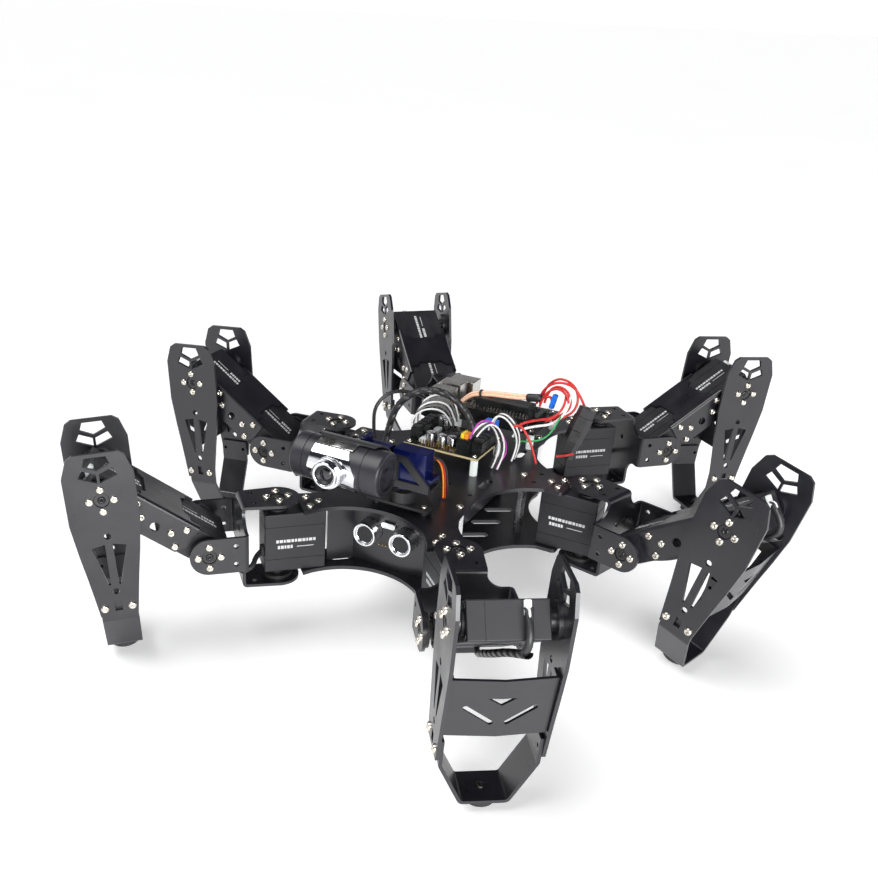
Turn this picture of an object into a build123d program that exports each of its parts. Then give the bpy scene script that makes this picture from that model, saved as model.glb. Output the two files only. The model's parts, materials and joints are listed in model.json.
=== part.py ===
"""Six-legged walking robot kit: chassis, eighteen leg servos, boards, range sensor and pan-tilt camera.

All lengths are millimetres. +Z is up with the floor at z = 0, the robot looks along -Y and its left is +X.
Shapes are drawn round the chassis middle; save() moves them so that the origin is under the middle of the
whole robot.
"""

import os
from math import asin, cos, degrees, radians, tan

from build123d import *

# ---------------------------------------- servos
SERVO_LONG = 40.0
SERVO_WIDE = 20.0
SERVO_TALL = 41.0
SHAFT_FROM_END = 10.0
COLLAR_R = 6.5
COLLAR_RISE = 1.2
SHAFT_R = 3.0
SHAFT_PLAY = 0.05
HORN_GAP = 0.3
HORN_R = 10.0
HORN_FACE = 26.7
SCREW_CIRCLE_R = 7.0
SCREW_HOLE_R = 1.3
CASE_SCREWS = [(-20.0, 6.5), (-20.0, -6.5), (-27.0, 0.0)]

# ---------------------------------------- leg sheet metal
SHEET = 2.0
FLANGE_OUTER = HORN_FACE + SHEET
CENTRE_HOLE_R = 4.6
SPINE_X = 22.65
COXA = 47.3
THIGH = 75.2
HIP_Z = 69.3
KNEE_Z = 73.8
COVER_SHEET = 1.5
FOOT_REACH = 118.0
DOME_R = 14.0
FOOT_R = 9.0

# ---------------------------------------- chassis
PLATE = 2.5
PLATE_TOP_Z = HIP_Z + SERVO_TALL / 2
PLATE_LOW_Z = HIP_Z - SERVO_TALL / 2 - PLATE
CORNER_X = 63.2
CORNER_Y = 135.0
MIDDLE_X = 99.0
BOARD_LIFT = 12.0
FOOTPRINT_SHIFT_X = -1.90
FOOTPRINT_SHIFT_Y = 3.86

# ---------------------------------------- pan-tilt head
PAN_X = 4.0
PAN_Y = -91.0
TILT_Z = 124.0
PAN_BODY_Z = 110.4
BARREL_Y = -118.0
BARREL_R = 14.5

# leg name: hip x, hip y, arm direction, leg direction, lean of the shin (degrees)
LEGS = {
    "right_front": (-CORNER_X, -CORNER_Y, 225.0, 224.5, -4.0),
    "left_front": (CORNER_X, -CORNER_Y, -45.0, -54.8, -3.5),
    "left_middle": (MIDDLE_X, 0.0, 0.0, -17.0, -13.0),
    "left_rear": (CORNER_X, CORNER_Y, 45.0, 45.7, -3.0),
    "right_rear": (-CORNER_X, CORNER_Y, 135.0, 135.4, -15.0),
    "right_middle": (-MIDDLE_X, 0.0, 180.0, 186.3, -4.0),
}

# ---------------------------------------- wires: diameter and corner points of each route
LEAD = 1.3
SLEEVE = 4.0
SLEEVE_ROUTE = [
    (87.4, 9.0, 3.0),
    (90.0, 9.0, -7.0),
    (84.0, 8.0, -16.5),
    (66.0, 4.0, -14.5),
    (45.0, 0.5, -14.8),
    (24.0, 0.0, -14.0),
]
# chassis wires: name: (diameter, corner points)
WIRES = {
    "wrapped_arch": (
        4.5,
        [(-46, -24, 96), (-44, -21, 116), (-39, -20, 130), (-30, -18, 140), (-16, -15, 144.6)]
        + [(-4, -13, 143), (6, -11, 136), (13.5, -10, 126), (15, -9.8, 119)],
    ),
    "webcam_cable": (
        2.6,
        [(-50, -30, 96), (-51, -33, 120), (-50, -32, 131), (-45, -25, 139), (-38, -14, 139)]
        + [(-35, 4, 132), (-38, 24, 122), (-46, 38, 113), (-50, 46, 111)],
    ),
    "lead_pair_top": (
        1.8,
        [(33, 24, 112), (34, 27, 117), (43, 37, 119), (52.5, 47, 119), (58, 54, 127), (56, 60, 133)],
    ),
    "lead_pair_low": (
        1.8,
        [(33, 21, 109), (35, 24, 113.5), (44, 34, 115.5), (54, 45, 115.5), (61, 54, 125), (59, 61, 134)],
    ),
    "outer_loop": (
        1.8,
        [(34, 62, 122), (37, 62, 132), (43, 62, 139), (51, 62, 142)]
        + [(60, 63, 140), (66, 64, 133), (70, 66, 124)],
    ),
    "inner_loop": (
        1.8,
        [(38, 58, 122), (40, 57, 131), (47, 57, 138), (54, 57, 138)]
        + [(60, 57, 131), (59, 57, 122), (53, 57, 115)],
    ),
    "supply_bundle": (
        4.5,
        [(-26, 60, 109), (-20, 60, 116.5), (-13, 60, 120.6)]
        + [(3, 60, 123.3), (19, 60, 124.4), (34, 60, 127.0)],
    ),
    "deck_lead": (1.8, [(33, 16, 118), (38, 18, 121.5), (45, 19, 113), (50, 19.5, 103), (53, 20, 93.5)]),
    "ground_lead": (LEAD, [(34, 22.6, 106), (42, 28.8, 104.5), (52, 35, 107), (57, 39, 115), (58, 47, 122)]),
    "bus_lead": (
        LEAD,
        [(16.5, -17.5, 117), (19, -15, 129), (26, -7, 129), (31.5, 1, 119), (34.5, 7, 108), (34.5, 6, 98)]
        + [(31, -1, 94)],
    ),
    "taped_lead": (1.8, [(70.0, 50, 95), (67, 47, 93.6), (60, 42, 93.4)]),
}
# nested loops over the servo ports on the controller's right-hand side, each higher than the one before
for step in range(5):
    rise = 1.7 * step
    along = 3.2 * step
    WIRES[f"port_lead_{step}"] = (
        LEAD,
        [(-28.5, -17 + along, 116), (-30, -15 + along, 120 + rise), (-26, -8 + along, 125.5 + rise)]
        + [(-19, 2 + along, 125 + rise), (-13, 9 + along, 119 + rise), (-10.2, 11 + along, 111)],
    )
# two rows of leads that drop over the controller's left-hand edge and run in under the board
for step in range(4):
    across = 2.0 * step
    WIRES[f"front_lead_{step}"] = (
        LEAD,
        [(13 + across, -12, 117), (18 + across, -9, 127), (24 + across, -2, 124)]
        + [(28 + across, 3, 112), (28.5 + across, 3, 101), (28 + across, -6, 94)],
    )
    along = 2.6 * step
    WIRES[f"side_lead_{step}"] = (
        LEAD,
        [(21, 4 + along, 117), (23, 6 + along, 128), (30, 12 + along, 126)]
        + [(37, 17 + along, 114), (38, 19 + along, 102), (37, 13 + along, 94)],
    )


def corner_radii(points):
    """Radius at each inner corner, so that each arc takes up most of the shorter run beside it."""
    radii = []
    for before, corner, after in zip(points, points[1:], points[2:]):
        run_in = Vector(*corner) - Vector(*before)
        run_out = Vector(*after) - Vector(*corner)
        turn = radians(run_in.get_angle(run_out))
        radii.append(0.45 * min(run_in.length, run_out.length) / tan(turn / 2))
    return radii


def tube(diameter, points):
    """A wire of one diameter along straight runs joined by tangent arcs."""
    with BuildPart() as wire:
        with BuildLine() as route:
            FilletPolyline(*points, radius=corner_radii(points))
        with BuildSketch(Plane(origin=route.line @ 0, z_dir=route.line % 0)):
            Circle(diameter / 2)
        sweep()
    return wire.part


def thigh_raise(lean):
    """Thigh angle above the horizontal that puts the domed foot exactly on the floor."""
    knee_drop = (FOOT_REACH - DOME_R) * cos(radians(lean)) + DOME_R
    return degrees(asin((knee_drop - KNEE_Z) / THIGH))


def leg_place(leg):
    x, y, _, direction, _ = LEGS[leg]
    return Location((x, y, 0), (0, 0, direction))


def thigh_place(leg):
    lean = LEGS[leg][4]
    return leg_place(leg) * Location((COXA, 0, KNEE_Z), (0, -thigh_raise(lean), 0))


def shin_place(leg):
    lean = LEGS[leg][4]
    return thigh_place(leg) * Location((THIGH, 0, 0), (0, thigh_raise(lean) - lean, 0))


os.makedirs("parts", exist_ok=True)


def save(builder, name):
    """Moves the piece from the chassis middle to the middle of the whole robot's footprint and writes it."""
    piece = builder.part.moved(Location((FOOTPRINT_SHIFT_X, FOOTPRINT_SHIFT_Y, 0)))
    piece.label = name
    export_step(piece, f"parts/{name}.step")


# ================================================================ shapes used on every leg
# servo case: shaft along Z through the origin, body running towards -X
with BuildPart() as servo_case:
    with Locations((SHAFT_FROM_END - SERVO_LONG / 2, 0, 0)):
        Box(SERVO_LONG, SERVO_WIDE, SERVO_TALL)
    fillet(servo_case.edges(), 0.8)
    # the two seams between the three parts of the case
    for seam_z in (-11.5, 11.5):
        with BuildSketch(Plane.XY.offset(seam_z - 0.25)) as seam:
            with Locations((SHAFT_FROM_END - SERVO_LONG / 2, 0)):
                Rectangle(SERVO_LONG + 2, SERVO_WIDE + 2)
                Rectangle(SERVO_LONG - 0.6, SERVO_WIDE - 0.6, mode=Mode.SUBTRACT)
        extrude(amount=0.5, mode=Mode.SUBTRACT)
    # raised collar and shaft hole at both ends
    Cylinder(COLLAR_R, SERVO_TALL + 2 * COLLAR_RISE)
    for side in (-1, 1):
        with Locations((0, 0, side * (SERVO_TALL / 2 + COLLAR_RISE - 2.2))):
            Cylinder(SHAFT_R + SHAFT_PLAY, 4.4, mode=Mode.SUBTRACT)

# output horn: shaft stub, hub, disc and centre boss, outer face towards +Z at HORN_FACE
HUB_START = SERVO_TALL / 2 + COLLAR_RISE + HORN_GAP
DISC_START = HORN_FACE - 2.3
with BuildPart() as horn:
    with BuildSketch(Plane.XY.offset(HUB_START - 3.6)):
        Circle(SHAFT_R)
    extrude(amount=3.6)
    with BuildSketch(Plane.XY.offset(HUB_START)):
        Circle(5.2)
    extrude(amount=DISC_START - HUB_START)
    with BuildSketch(Plane.XY.offset(DISC_START)):
        Circle(HORN_R)
    extrude(amount=HORN_FACE - DISC_START - 0.05)
    with BuildSketch(Plane.XY.offset(HORN_FACE - 0.05)):
        Circle(4.2)
        Circle(1.4, mode=Mode.SUBTRACT)
    extrude(amount=1.5)

UP = Location((0, 0, 0))
DOWN = Location((0, 0, 0), (180, 0, 0))
SIDE_PLUS = Location((0, 0, 0), (-90, 0, 0))
SIDE_MINUS = Location((0, 0, 0), (90, 0, 0))


# ---------------------------------------- hip bracket, in the leg's own frame
# vertical strap over and under the hip servo
with BuildPart() as hip_strap:
    with BuildSketch(Plane.XZ):
        with Locations((SPINE_X + SHEET - 20, HIP_Z)):
            strap_outer = Rectangle(40, 2 * FLANGE_OUTER)
        fillet(strap_outer.vertices().group_by(Axis.X)[-1], 3.0)
    extrude(amount=20, both=True)
    with BuildSketch(Plane.XZ):
        with Locations((SPINE_X - 21, HIP_Z)):
            strap_inner = Rectangle(42, 2 * HORN_FACE)
        fillet(strap_inner.vertices().group_by(Axis.X)[-1], 1.0)
    extrude(amount=25, both=True, mode=Mode.SUBTRACT)
    with BuildSketch(Plane.XY):
        Circle(14.3)
        with BuildLine():
            Polyline((0, -14.3), (SPINE_X + 3, -12.3), (SPINE_X + 3, 12.3), (0, 14.3), close=True)
        make_face()
    extrude(amount=HIP_Z + 40, mode=Mode.INTERSECT)
    with BuildSketch(Plane.XY):
        Circle(CENTRE_HOLE_R)
        with PolarLocations(SCREW_CIRCLE_R, 4):
            Circle(SCREW_HOLE_R)
        with Locations((16.2, 7.5), (16.2, -7.5)):
            Circle(1.6)
    extrude(amount=HIP_Z + 40, mode=Mode.SUBTRACT)

# horizontal strap either side of the thigh servo
with BuildPart() as knee_strap:
    with BuildSketch(Plane.XY.offset(KNEE_Z - 12)):
        with Locations((SPINE_X + 20, 0)):
            wrap_outer = Rectangle(40, 2 * FLANGE_OUTER)
        fillet(wrap_outer.vertices().group_by(Axis.X)[0], 3.0)
    extrude(amount=24)
    with BuildSketch(Plane.XY.offset(KNEE_Z)):
        with Locations((SPINE_X + SHEET + 21, 0)):
            wrap_inner = Rectangle(42, 2 * HORN_FACE)
        fillet(wrap_inner.vertices().group_by(Axis.X)[0], 1.0)
    extrude(amount=20, both=True, mode=Mode.SUBTRACT)
    with BuildSketch(Plane.XZ):
        with Locations((COXA, KNEE_Z)):
            Circle(12)
        with Locations(((COXA + SPINE_X) / 2, KNEE_Z)):
            Rectangle(COXA - SPINE_X, 24)
    extrude(amount=40, both=True, mode=Mode.INTERSECT)
    with BuildSketch(Plane.XZ):
        with Locations((COXA, KNEE_Z)):
            Circle(CENTRE_HOLE_R)
            with PolarLocations(SCREW_CIRCLE_R, 4):
                Circle(SCREW_HOLE_R)
        with Locations((COXA - 16.5, KNEE_Z + 6.2), (COXA - 16.5, KNEE_Z - 6.2)):
            Circle(1.6)
    extrude(amount=40, both=True, mode=Mode.SUBTRACT)

# flared web that joins the two straps in the plane of the spine
with BuildPart() as spine_web:
    with BuildSketch(Plane.YZ.offset(SPINE_X)):
        with BuildLine():
            Line((0, HIP_Z + 25), (12.3, HIP_Z + 25))
            ThreePointArc((12.3, HIP_Z + 25), (16.6, HIP_Z + 18.7), (25.7, HIP_Z + 16.5))
            Line((25.7, HIP_Z + 16.5), (25.7, HIP_Z - 7.5))
            ThreePointArc((25.7, HIP_Z - 7.5), (15.6, HIP_Z - 10.6), (12.3, HIP_Z - 20))
            Line((12.3, HIP_Z - 20), (0, HIP_Z - 20))
            mirror(about=Plane.YZ)
        make_face()
    extrude(amount=SHEET)

with BuildPart() as hip_bracket:
    add(hip_strap.part)
    add(knee_strap.part)
    add(spine_web.part)
    with BuildSketch(Plane.YZ):
        with Locations((0, HIP_Z + 8)):
            Circle(2.2)
    extrude(amount=60, mode=Mode.SUBTRACT)

# ---------------------------------------- thigh cover, X along the thigh, Z out of its top
with BuildPart() as thigh_cover:
    with BuildSketch(Plane.YZ.offset(13.5)):
        with Locations((0, 0.9)):
            cover_outer = Rectangle(SERVO_TALL + 3.2, 21.4)
        fillet(cover_outer.vertices().group_by(Axis.Y)[-1], 2.0)
    extrude(amount=THIGH - 27)
    with BuildSketch(Plane.YZ):
        with Locations((0, -1)):
            cover_inner = Rectangle(SERVO_TALL + 0.2, 22.2)
        fillet(cover_inner.vertices().group_by(Axis.Y)[-1], 0.5)
    extrude(amount=THIGH, mode=Mode.SUBTRACT)
    # open ends of the top sheet, each with a wide notch
    with BuildSketch(Plane.XY.offset(8)):
        for end in (-1, 1):
            with BuildLine():
                Polyline(
                    (THIGH / 2 + end * 30, -18.5),
                    (THIGH / 2 + end * 17.5, -18.5),
                    (THIGH / 2 + end * 17.5, -13),
                    (THIGH / 2 + end * 13.5, -10),
                    (THIGH / 2 + end * 13.5, 10),
                    (THIGH / 2 + end * 17.5, 13),
                    (THIGH / 2 + end * 17.5, 18.5),
                    (THIGH / 2 + end * 30, 18.5),
                    close=True,
                )
            make_face()
    extrude(amount=10, mode=Mode.SUBTRACT)
    # lower corners cut back, then the screw and wire holes
    with BuildSketch(Plane.XZ):
        for end in (-1, 1):
            with BuildLine():
                Polyline(
                    (THIGH / 2 + end * 25, -2),
                    (THIGH / 2 + end * 25, -12),
                    (THIGH / 2 + end * 18, -12),
                    close=True,
                )
            make_face()
        for screw_x, screw_z in CASE_SCREWS:
            with Locations((-screw_x, screw_z), (THIGH + screw_x, screw_z)):
                Circle(SCREW_HOLE_R)
        with Locations((THIGH / 2, -1.4)):
            Circle(3.0)
    extrude(amount=40, both=True, mode=Mode.SUBTRACT)


# ---------------------------------------- shin parts, Z up along the shin, origin at its hinge
def shin_half(side):
    """One side of the shin plate's outline, side = -1 or 1."""
    return [
        (side * 12.5, 29.5),
        (side * 16.4, 27.0),
        (side * 20.4, 15.5),
        (side * 20.4, -14.0),
        (side * 17.6, -35.0),
        (side * 15.2, -50.0),
        (side * 13.2, -64.0),
        (side * 11.3, -78.0),
    ]


with BuildPart() as shin_plate:
    with BuildSketch(Plane.XZ.offset(-FLANGE_OUTER)):
        with BuildLine():
            Polyline(*shin_half(1), *reversed(shin_half(-1)), close=True)
        make_face()
        # five-sided window over two four-sided ones
        with BuildLine(mode=Mode.PRIVATE) as top_window:
            Polyline((-6, 27.3), (6, 27.3), (7.8, 22.2), (0, 18.6), (-7.8, 22.2), close=True)
        make_face(top_window.edges(), mode=Mode.SUBTRACT)
        for side in (-1, 1):
            with BuildLine(mode=Mode.PRIVATE) as low_window:
                Polyline(
                    (side * 8.7, 20.0),
                    (side * 0.8, 16.7),
                    (side * 0.8, 11.0),
                    (side * 11.2, 15.2),
                    close=True,
                )
            make_face(low_window.edges(), mode=Mode.SUBTRACT)
            with BuildLine(mode=Mode.PRIVATE) as long_slot:
                Polyline(
                    (side * 2.2, -28.8),
                    (side * 10.0, -30.4),
                    (side * 3.6, -56.5),
                    (side * 2.4, -56.5),
                    close=True,
                )
            make_face(long_slot.edges(), mode=Mode.SUBTRACT)
            with Locations((side * 8.2, -72.4)):
                Circle(SCREW_HOLE_R, mode=Mode.SUBTRACT)
        with Locations((0, -71.6)):
            Rectangle(4.4, 6.6, mode=Mode.SUBTRACT)
        with Locations((0, -23.6), (0, -61.2)):
            Circle(2.0, mode=Mode.SUBTRACT)
        Circle(CENTRE_HOLE_R, mode=Mode.SUBTRACT)
        with PolarLocations(SCREW_CIRCLE_R, 4):
            Circle(SCREW_HOLE_R, mode=Mode.SUBTRACT)
    extrude(amount=SHEET)

# bent shield across the outer edges of the two plates
SHIELD_TOP = Plane(origin=(17.2, 0, -21.5), x_dir=(0, 1, 0), z_dir=(-5.2, 0, -39))
with BuildPart() as shin_shield:
    with BuildSketch(SHIELD_TOP):
        with BuildLine():
            Polyline(
                (-26.4, -7.0),
                (-26.4, 0.0),
                (0.0, 1.8),
                (26.4, 0.0),
                (26.4, -7.0),
                (24.9, -7.0),
                (24.9, -1.5),
                (0.0, 0.3),
                (-24.9, -1.5),
                (-24.9, -7.0),
                close=True,
            )
        make_face()
    extrude(amount=39.3)
    with BuildSketch(Plane.YZ):
        with BuildLine():
            Polyline((-7.3, -33.6), (7.3, -33.6), (0, -38.4), close=True)
        make_face()
        for side in (-1, 1):
            with Locations(Location((side * 10.8, -45.6), side * 37.0)):
                SlotOverall(19.5, 3.0)
    extrude(amount=40, mode=Mode.SUBTRACT)

# bent strip that carries the rubber foot
with BuildPart() as foot_bracket:
    with BuildSketch(Plane.YZ):
        with BuildLine() as strip_path:
            FilletPolyline(
                (-25.6, -66.0),
                (-25.6, -82.5),
                (-12.6, -109.0),
                (12.6, -109.0),
                (25.6, -82.5),
                (25.6, -66.0),
                radius=3.0,
            )
        trace(line_width=SHEET)
    extrude(amount=11, both=True)
    with BuildSketch(Plane.XZ):
        with Locations((8.2, -72.4), (-8.2, -72.4)):
            Circle(SCREW_HOLE_R)
    extrude(amount=40, both=True, mode=Mode.SUBTRACT)

with BuildPart() as rubber_foot:
    with Locations((0, 0, DOME_R - FOOT_REACH)):
        Sphere(DOME_R)
    with BuildSketch(Plane.XY.offset(-FOOT_REACH)):
        Circle(FOOT_R)
    extrude(amount=FOOT_REACH - 110.0, mode=Mode.INTERSECT)

sleeve = tube(SLEEVE, SLEEVE_ROUTE)

# ================================================================ the six legs
for leg in LEGS:
    with BuildPart() as node:
        with Locations(leg_place(leg)):
            add(hip_bracket.part)
    save(node, f"{leg}_hip_bracket")

    with BuildPart() as node:
        for turn in (UP, DOWN):
            with Locations(leg_place(leg) * Location((0, 0, HIP_Z)) * turn):
                add(horn.part)
        for turn in (SIDE_PLUS, SIDE_MINUS):
            with Locations(leg_place(leg) * Location((COXA, 0, KNEE_Z)) * turn):
                add(horn.part)
    save(node, f"{leg}_hip_horns")

    with BuildPart() as node:
        hip_end = Location((0, 0, 0), (90, 0, 0)) * Location((0, 0, 0), (0, 0, 180))
        shin_end = Location((THIGH, 0, 0), (90, 0, 0))
        with Locations(thigh_place(leg) * hip_end, thigh_place(leg) * shin_end):
            add(servo_case.part)
    save(node, f"{leg}_thigh_servos")

    with BuildPart() as node:
        with Locations(thigh_place(leg)):
            add(thigh_cover.part)
    save(node, f"{leg}_thigh_cover")

    with BuildPart() as node:
        with Locations(shin_place(leg), shin_place(leg) * Location((0, 0, 0), (0, 0, 180))):
            add(shin_plate.part)
        for turn in (SIDE_PLUS, SIDE_MINUS):
            with Locations(shin_place(leg) * turn):
                add(horn.part)
        with Locations(shin_place(leg)):
            add(shin_shield.part)
            add(foot_bracket.part)
    save(node, f"{leg}_shin_frame")

    with BuildPart() as node:
        with Locations(shin_place(leg)):
            add(rubber_foot.part)
    save(node, f"{leg}_rubber_foot")

    with BuildPart() as node:
        with Locations(thigh_place(leg)):
            add(sleeve)
    save(node, f"{leg}_servo_lead")

# ================================================================ chassis
with BuildPart() as node:
    for x, y, arm, _, _ in LEGS.values():
        with Locations(Location((x, y, HIP_Z), (0, 0, arm))):
            add(servo_case.part)
save(node, "hip_servos")

ARM_END_NEAR = (CORNER_X - 0.5, -CORNER_Y + 20.2)
ARM_END_FAR = (CORNER_X - 20.2, -CORNER_Y + 0.5)
with BuildSketch() as plate_outline:
    with BuildLine():
        ThreePointArc((0, -105.5), (22, -111.1), ARM_END_FAR)
        Line(ARM_END_FAR, ARM_END_NEAR)
        ThreePointArc(ARM_END_NEAR, (45.5, -95.5), (42.0, -68.0))
        ThreePointArc((42.0, -68.0), (48.5, -34.0), (72.0, -14.0))
        Line((72.0, -14.0), (MIDDLE_X - 14.0, -14.0))
        Line((MIDDLE_X - 14.0, -14.0), (MIDDLE_X - 14.0, 0))
        mirror(about=Plane.XZ)
        mirror(about=Plane.YZ)
    make_face()
    for x, y, arm, _, _ in LEGS.values():
        for screw_x, screw_y in CASE_SCREWS:
            with Locations(Location((x, y), arm) * Location((screw_x, screw_y))):
                Circle(SCREW_HOLE_R, mode=Mode.SUBTRACT)

SPACER_SPOTS = [(-36, -72), (36, -72), (-36, 72), (36, 72), (-52, 0), (52, 0)]
CONTROLLER_CORNERS = [(-27.5, -21), (22.5, -21), (-27.5, 21), (22.5, 21)]
COMPUTER_CORNERS = [(-20.5, 47), (37.5, 47), (-20.5, 95), (37.5, 95)]
SMALL_HOLES = [(-34, -52), (34, -52), (-34, 58), (34, 58), (-62, -8), (62, -8), (-62, 8), (62, 8)]
ACCESSORY_SPOTS = [(-15, -55), (15, -55), (-15, -43), (15, -43)]

with BuildPart() as top_plate:
    with BuildSketch(Plane.XY.offset(PLATE_TOP_Z)):
        add(plate_outline.sketch)
        # wire slots beside the controller, free accessory holes in front of it, small holes along the middle
        with Locations((-36, -30), (36, -30), (-36, 34), (36, 34)):
            SlotOverall(16, 6, rotation=90, mode=Mode.SUBTRACT)
        with Locations(*ACCESSORY_SPOTS):
            Circle(1.6, mode=Mode.SUBTRACT)
        with Locations(*SMALL_HOLES):
            Circle(1.6, mode=Mode.SUBTRACT)
    extrude(amount=PLATE)
    fillet(top_plate.edges().filter_by(Axis.Z).filter_by(lambda e: abs(e.center().X) > 84.9), 3)
save(top_plate, "top_plate")

with BuildPart() as bottom_plate:
    with BuildSketch(Plane.XY.offset(PLATE_LOW_Z)):
        add(plate_outline.sketch)
        # three slanted slots each side of the middle and one slot along each corner arm
        for side in (-1, 1):
            for slot_y in (-24, 0, 24):
                with Locations(Location((side * 28, slot_y), side * 35.0)):
                    SlotOverall(22, 6, mode=Mode.SUBTRACT)
            for end in (-1, 1):
                with Locations(Location((side * 33, end * 104), side * end * 45.0)):
                    SlotOverall(14, 5, mode=Mode.SUBTRACT)
    extrude(amount=PLATE)
    fillet(bottom_plate.edges().filter_by(Axis.Z).filter_by(lambda e: abs(e.center().X) > 84.9), 3)
save(bottom_plate, "bottom_plate")

with BuildPart() as plate_spacers:
    with BuildSketch(Plane.XY.offset(PLATE_LOW_Z + PLATE)):
        with Locations(*SPACER_SPOTS):
            RegularPolygon(3.2, 6)
    extrude(amount=SERVO_TALL)
save(plate_spacers, "plate_spacers")

with BuildPart() as battery_pack:
    with Locations((0, 4, PLATE_LOW_Z + PLATE + 13.2)):
        Box(36, 104, 26)
    fillet(battery_pack.edges(), 2.0)
save(battery_pack, "battery_pack")

# ---------------------------------------- front panel and range sensor
PANEL_Y = -98.0
PANEL_T = 1.5
EYE_Z = 74.0
with BuildPart() as sensor_panel:
    with BuildSketch(Plane.XY.offset(PLATE_LOW_Z + PLATE + 0.1)):
        with BuildLine():
            Polyline(
                (-40.0, PANEL_Y - 13.0),
                (-27.0, PANEL_Y),
                (27.0, PANEL_Y),
                (40.0, PANEL_Y - 13.0),
                (38.9, PANEL_Y - 14.1),
                (26.4, PANEL_Y - PANEL_T),
                (-26.4, PANEL_Y - PANEL_T),
                (-38.9, PANEL_Y - 14.1),
                close=True,
            )
        make_face()
    extrude(amount=SERVO_TALL - 0.2)
    # round holes for the two eyes, and a pill hole between them
    with BuildSketch(Plane.XZ.offset(-PANEL_Y - 5)):
        with Locations((-13, EYE_Z), (13, EYE_Z)):
            Circle(8.2)
        with Locations((0, EYE_Z + 6.5)):
            SlotOverall(10.6, 4.4)
    extrude(amount=10, mode=Mode.SUBTRACT)
save(sensor_panel, "sensor_panel")

with BuildPart() as ultrasonic_sensor:
    with Locations((0, PANEL_Y + 1.4, EYE_Z)):
        Box(45, 1.6, 20)
    with BuildSketch(Plane.XZ.offset(-PANEL_Y - 0.6)):
        with Locations((-13, EYE_Z), (13, EYE_Z)):
            Circle(8.0)
    extrude(amount=12.6)
    with BuildSketch(Plane.XZ.offset(-PANEL_Y + 12.0)):
        with Locations((-13, EYE_Z), (13, EYE_Z)):
            Circle(6.3)
    extrude(amount=-1.6, mode=Mode.SUBTRACT)
    with BuildSketch(Plane.XZ.offset(-PANEL_Y - 0.6)):
        with Locations((0, EYE_Z + 6.5)):
            SlotOverall(10.0, 3.8)
    extrude(amount=4.4)
save(ultrasonic_sensor, "ultrasonic_sensor")

# ---------------------------------------- pan-tilt head
BASE_Z = PLATE_TOP_Z + PLATE
POST_TOP = PAN_BODY_Z - 5.9
with BuildPart() as pan_base:
    with BuildSketch(Plane.XY.offset(BASE_Z)):
        with Locations((PAN_X - 17, PAN_Y - 4), (PAN_X + 17, PAN_Y - 4), (PAN_X, PAN_Y + 12)):
            Circle(2.6)
    extrude(amount=3.0)
    with BuildSketch(Plane.XY.offset(BASE_Z + 3.0)):
        with BuildLine():
            Polyline(
                (PAN_X - 22, PAN_Y - 9),
                (PAN_X + 22, PAN_Y - 9),
                (PAN_X + 22, PAN_Y + 1),
                (PAN_X + 7, PAN_Y + 16),
                (PAN_X - 7, PAN_Y + 16),
                (PAN_X - 22, PAN_Y + 1),
                close=True,
            )
        make_face()
    extrude(amount=1.8)
    with BuildSketch(Plane.XY.offset(BASE_Z + 4.8)):
        with Locations((PAN_X, PAN_Y)):
            Circle(8.5)
    extrude(amount=POST_TOP - BASE_Z - 4.8)
    with BuildSketch(Plane.XY.offset(POST_TOP)):
        with Locations((PAN_X, PAN_Y)):
            Circle(2.5)
    extrude(amount=4.0)
save(pan_base, "pan_base")

# small servo: shaft tower along +Z through the origin, body below it and towards -X
with BuildPart() as micro_servo:
    with Locations((-5.5, 0, -11.25)):
        Box(22.8, 12.2, 22.5)
    with Locations((-5.5, 0, -5.7)):
        Box(32.2, 12.2, 2.4)
    fillet(micro_servo.edges().filter_by(Axis.Z), 0.6)
    with Locations((0, 0, 2)):
        Cylinder(5.9, 4)
    with Locations((0, 0, 1.5)):
        Cylinder(2.55, 5.2, mode=Mode.SUBTRACT)
    with Locations((-19.3, 0, -5.7), (8.3, 0, -5.7)):
        Cylinder(1.0, 4, mode=Mode.SUBTRACT)

TILT_FACE_X = PAN_X - 33.7
PAN_SERVO_PLACE = Location((PAN_X, PAN_Y, PAN_BODY_Z)) * Location((0, 0, 0), (0, 180, 0))
TILT_SERVO_PLACE = Location((TILT_FACE_X, PAN_Y, TILT_Z), (0, -90, 0))
with BuildPart() as micro_servos:
    with Locations(PAN_SERVO_PLACE, TILT_SERVO_PLACE):
        add(micro_servo.part)
save(micro_servos, "micro_servos")

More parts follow.
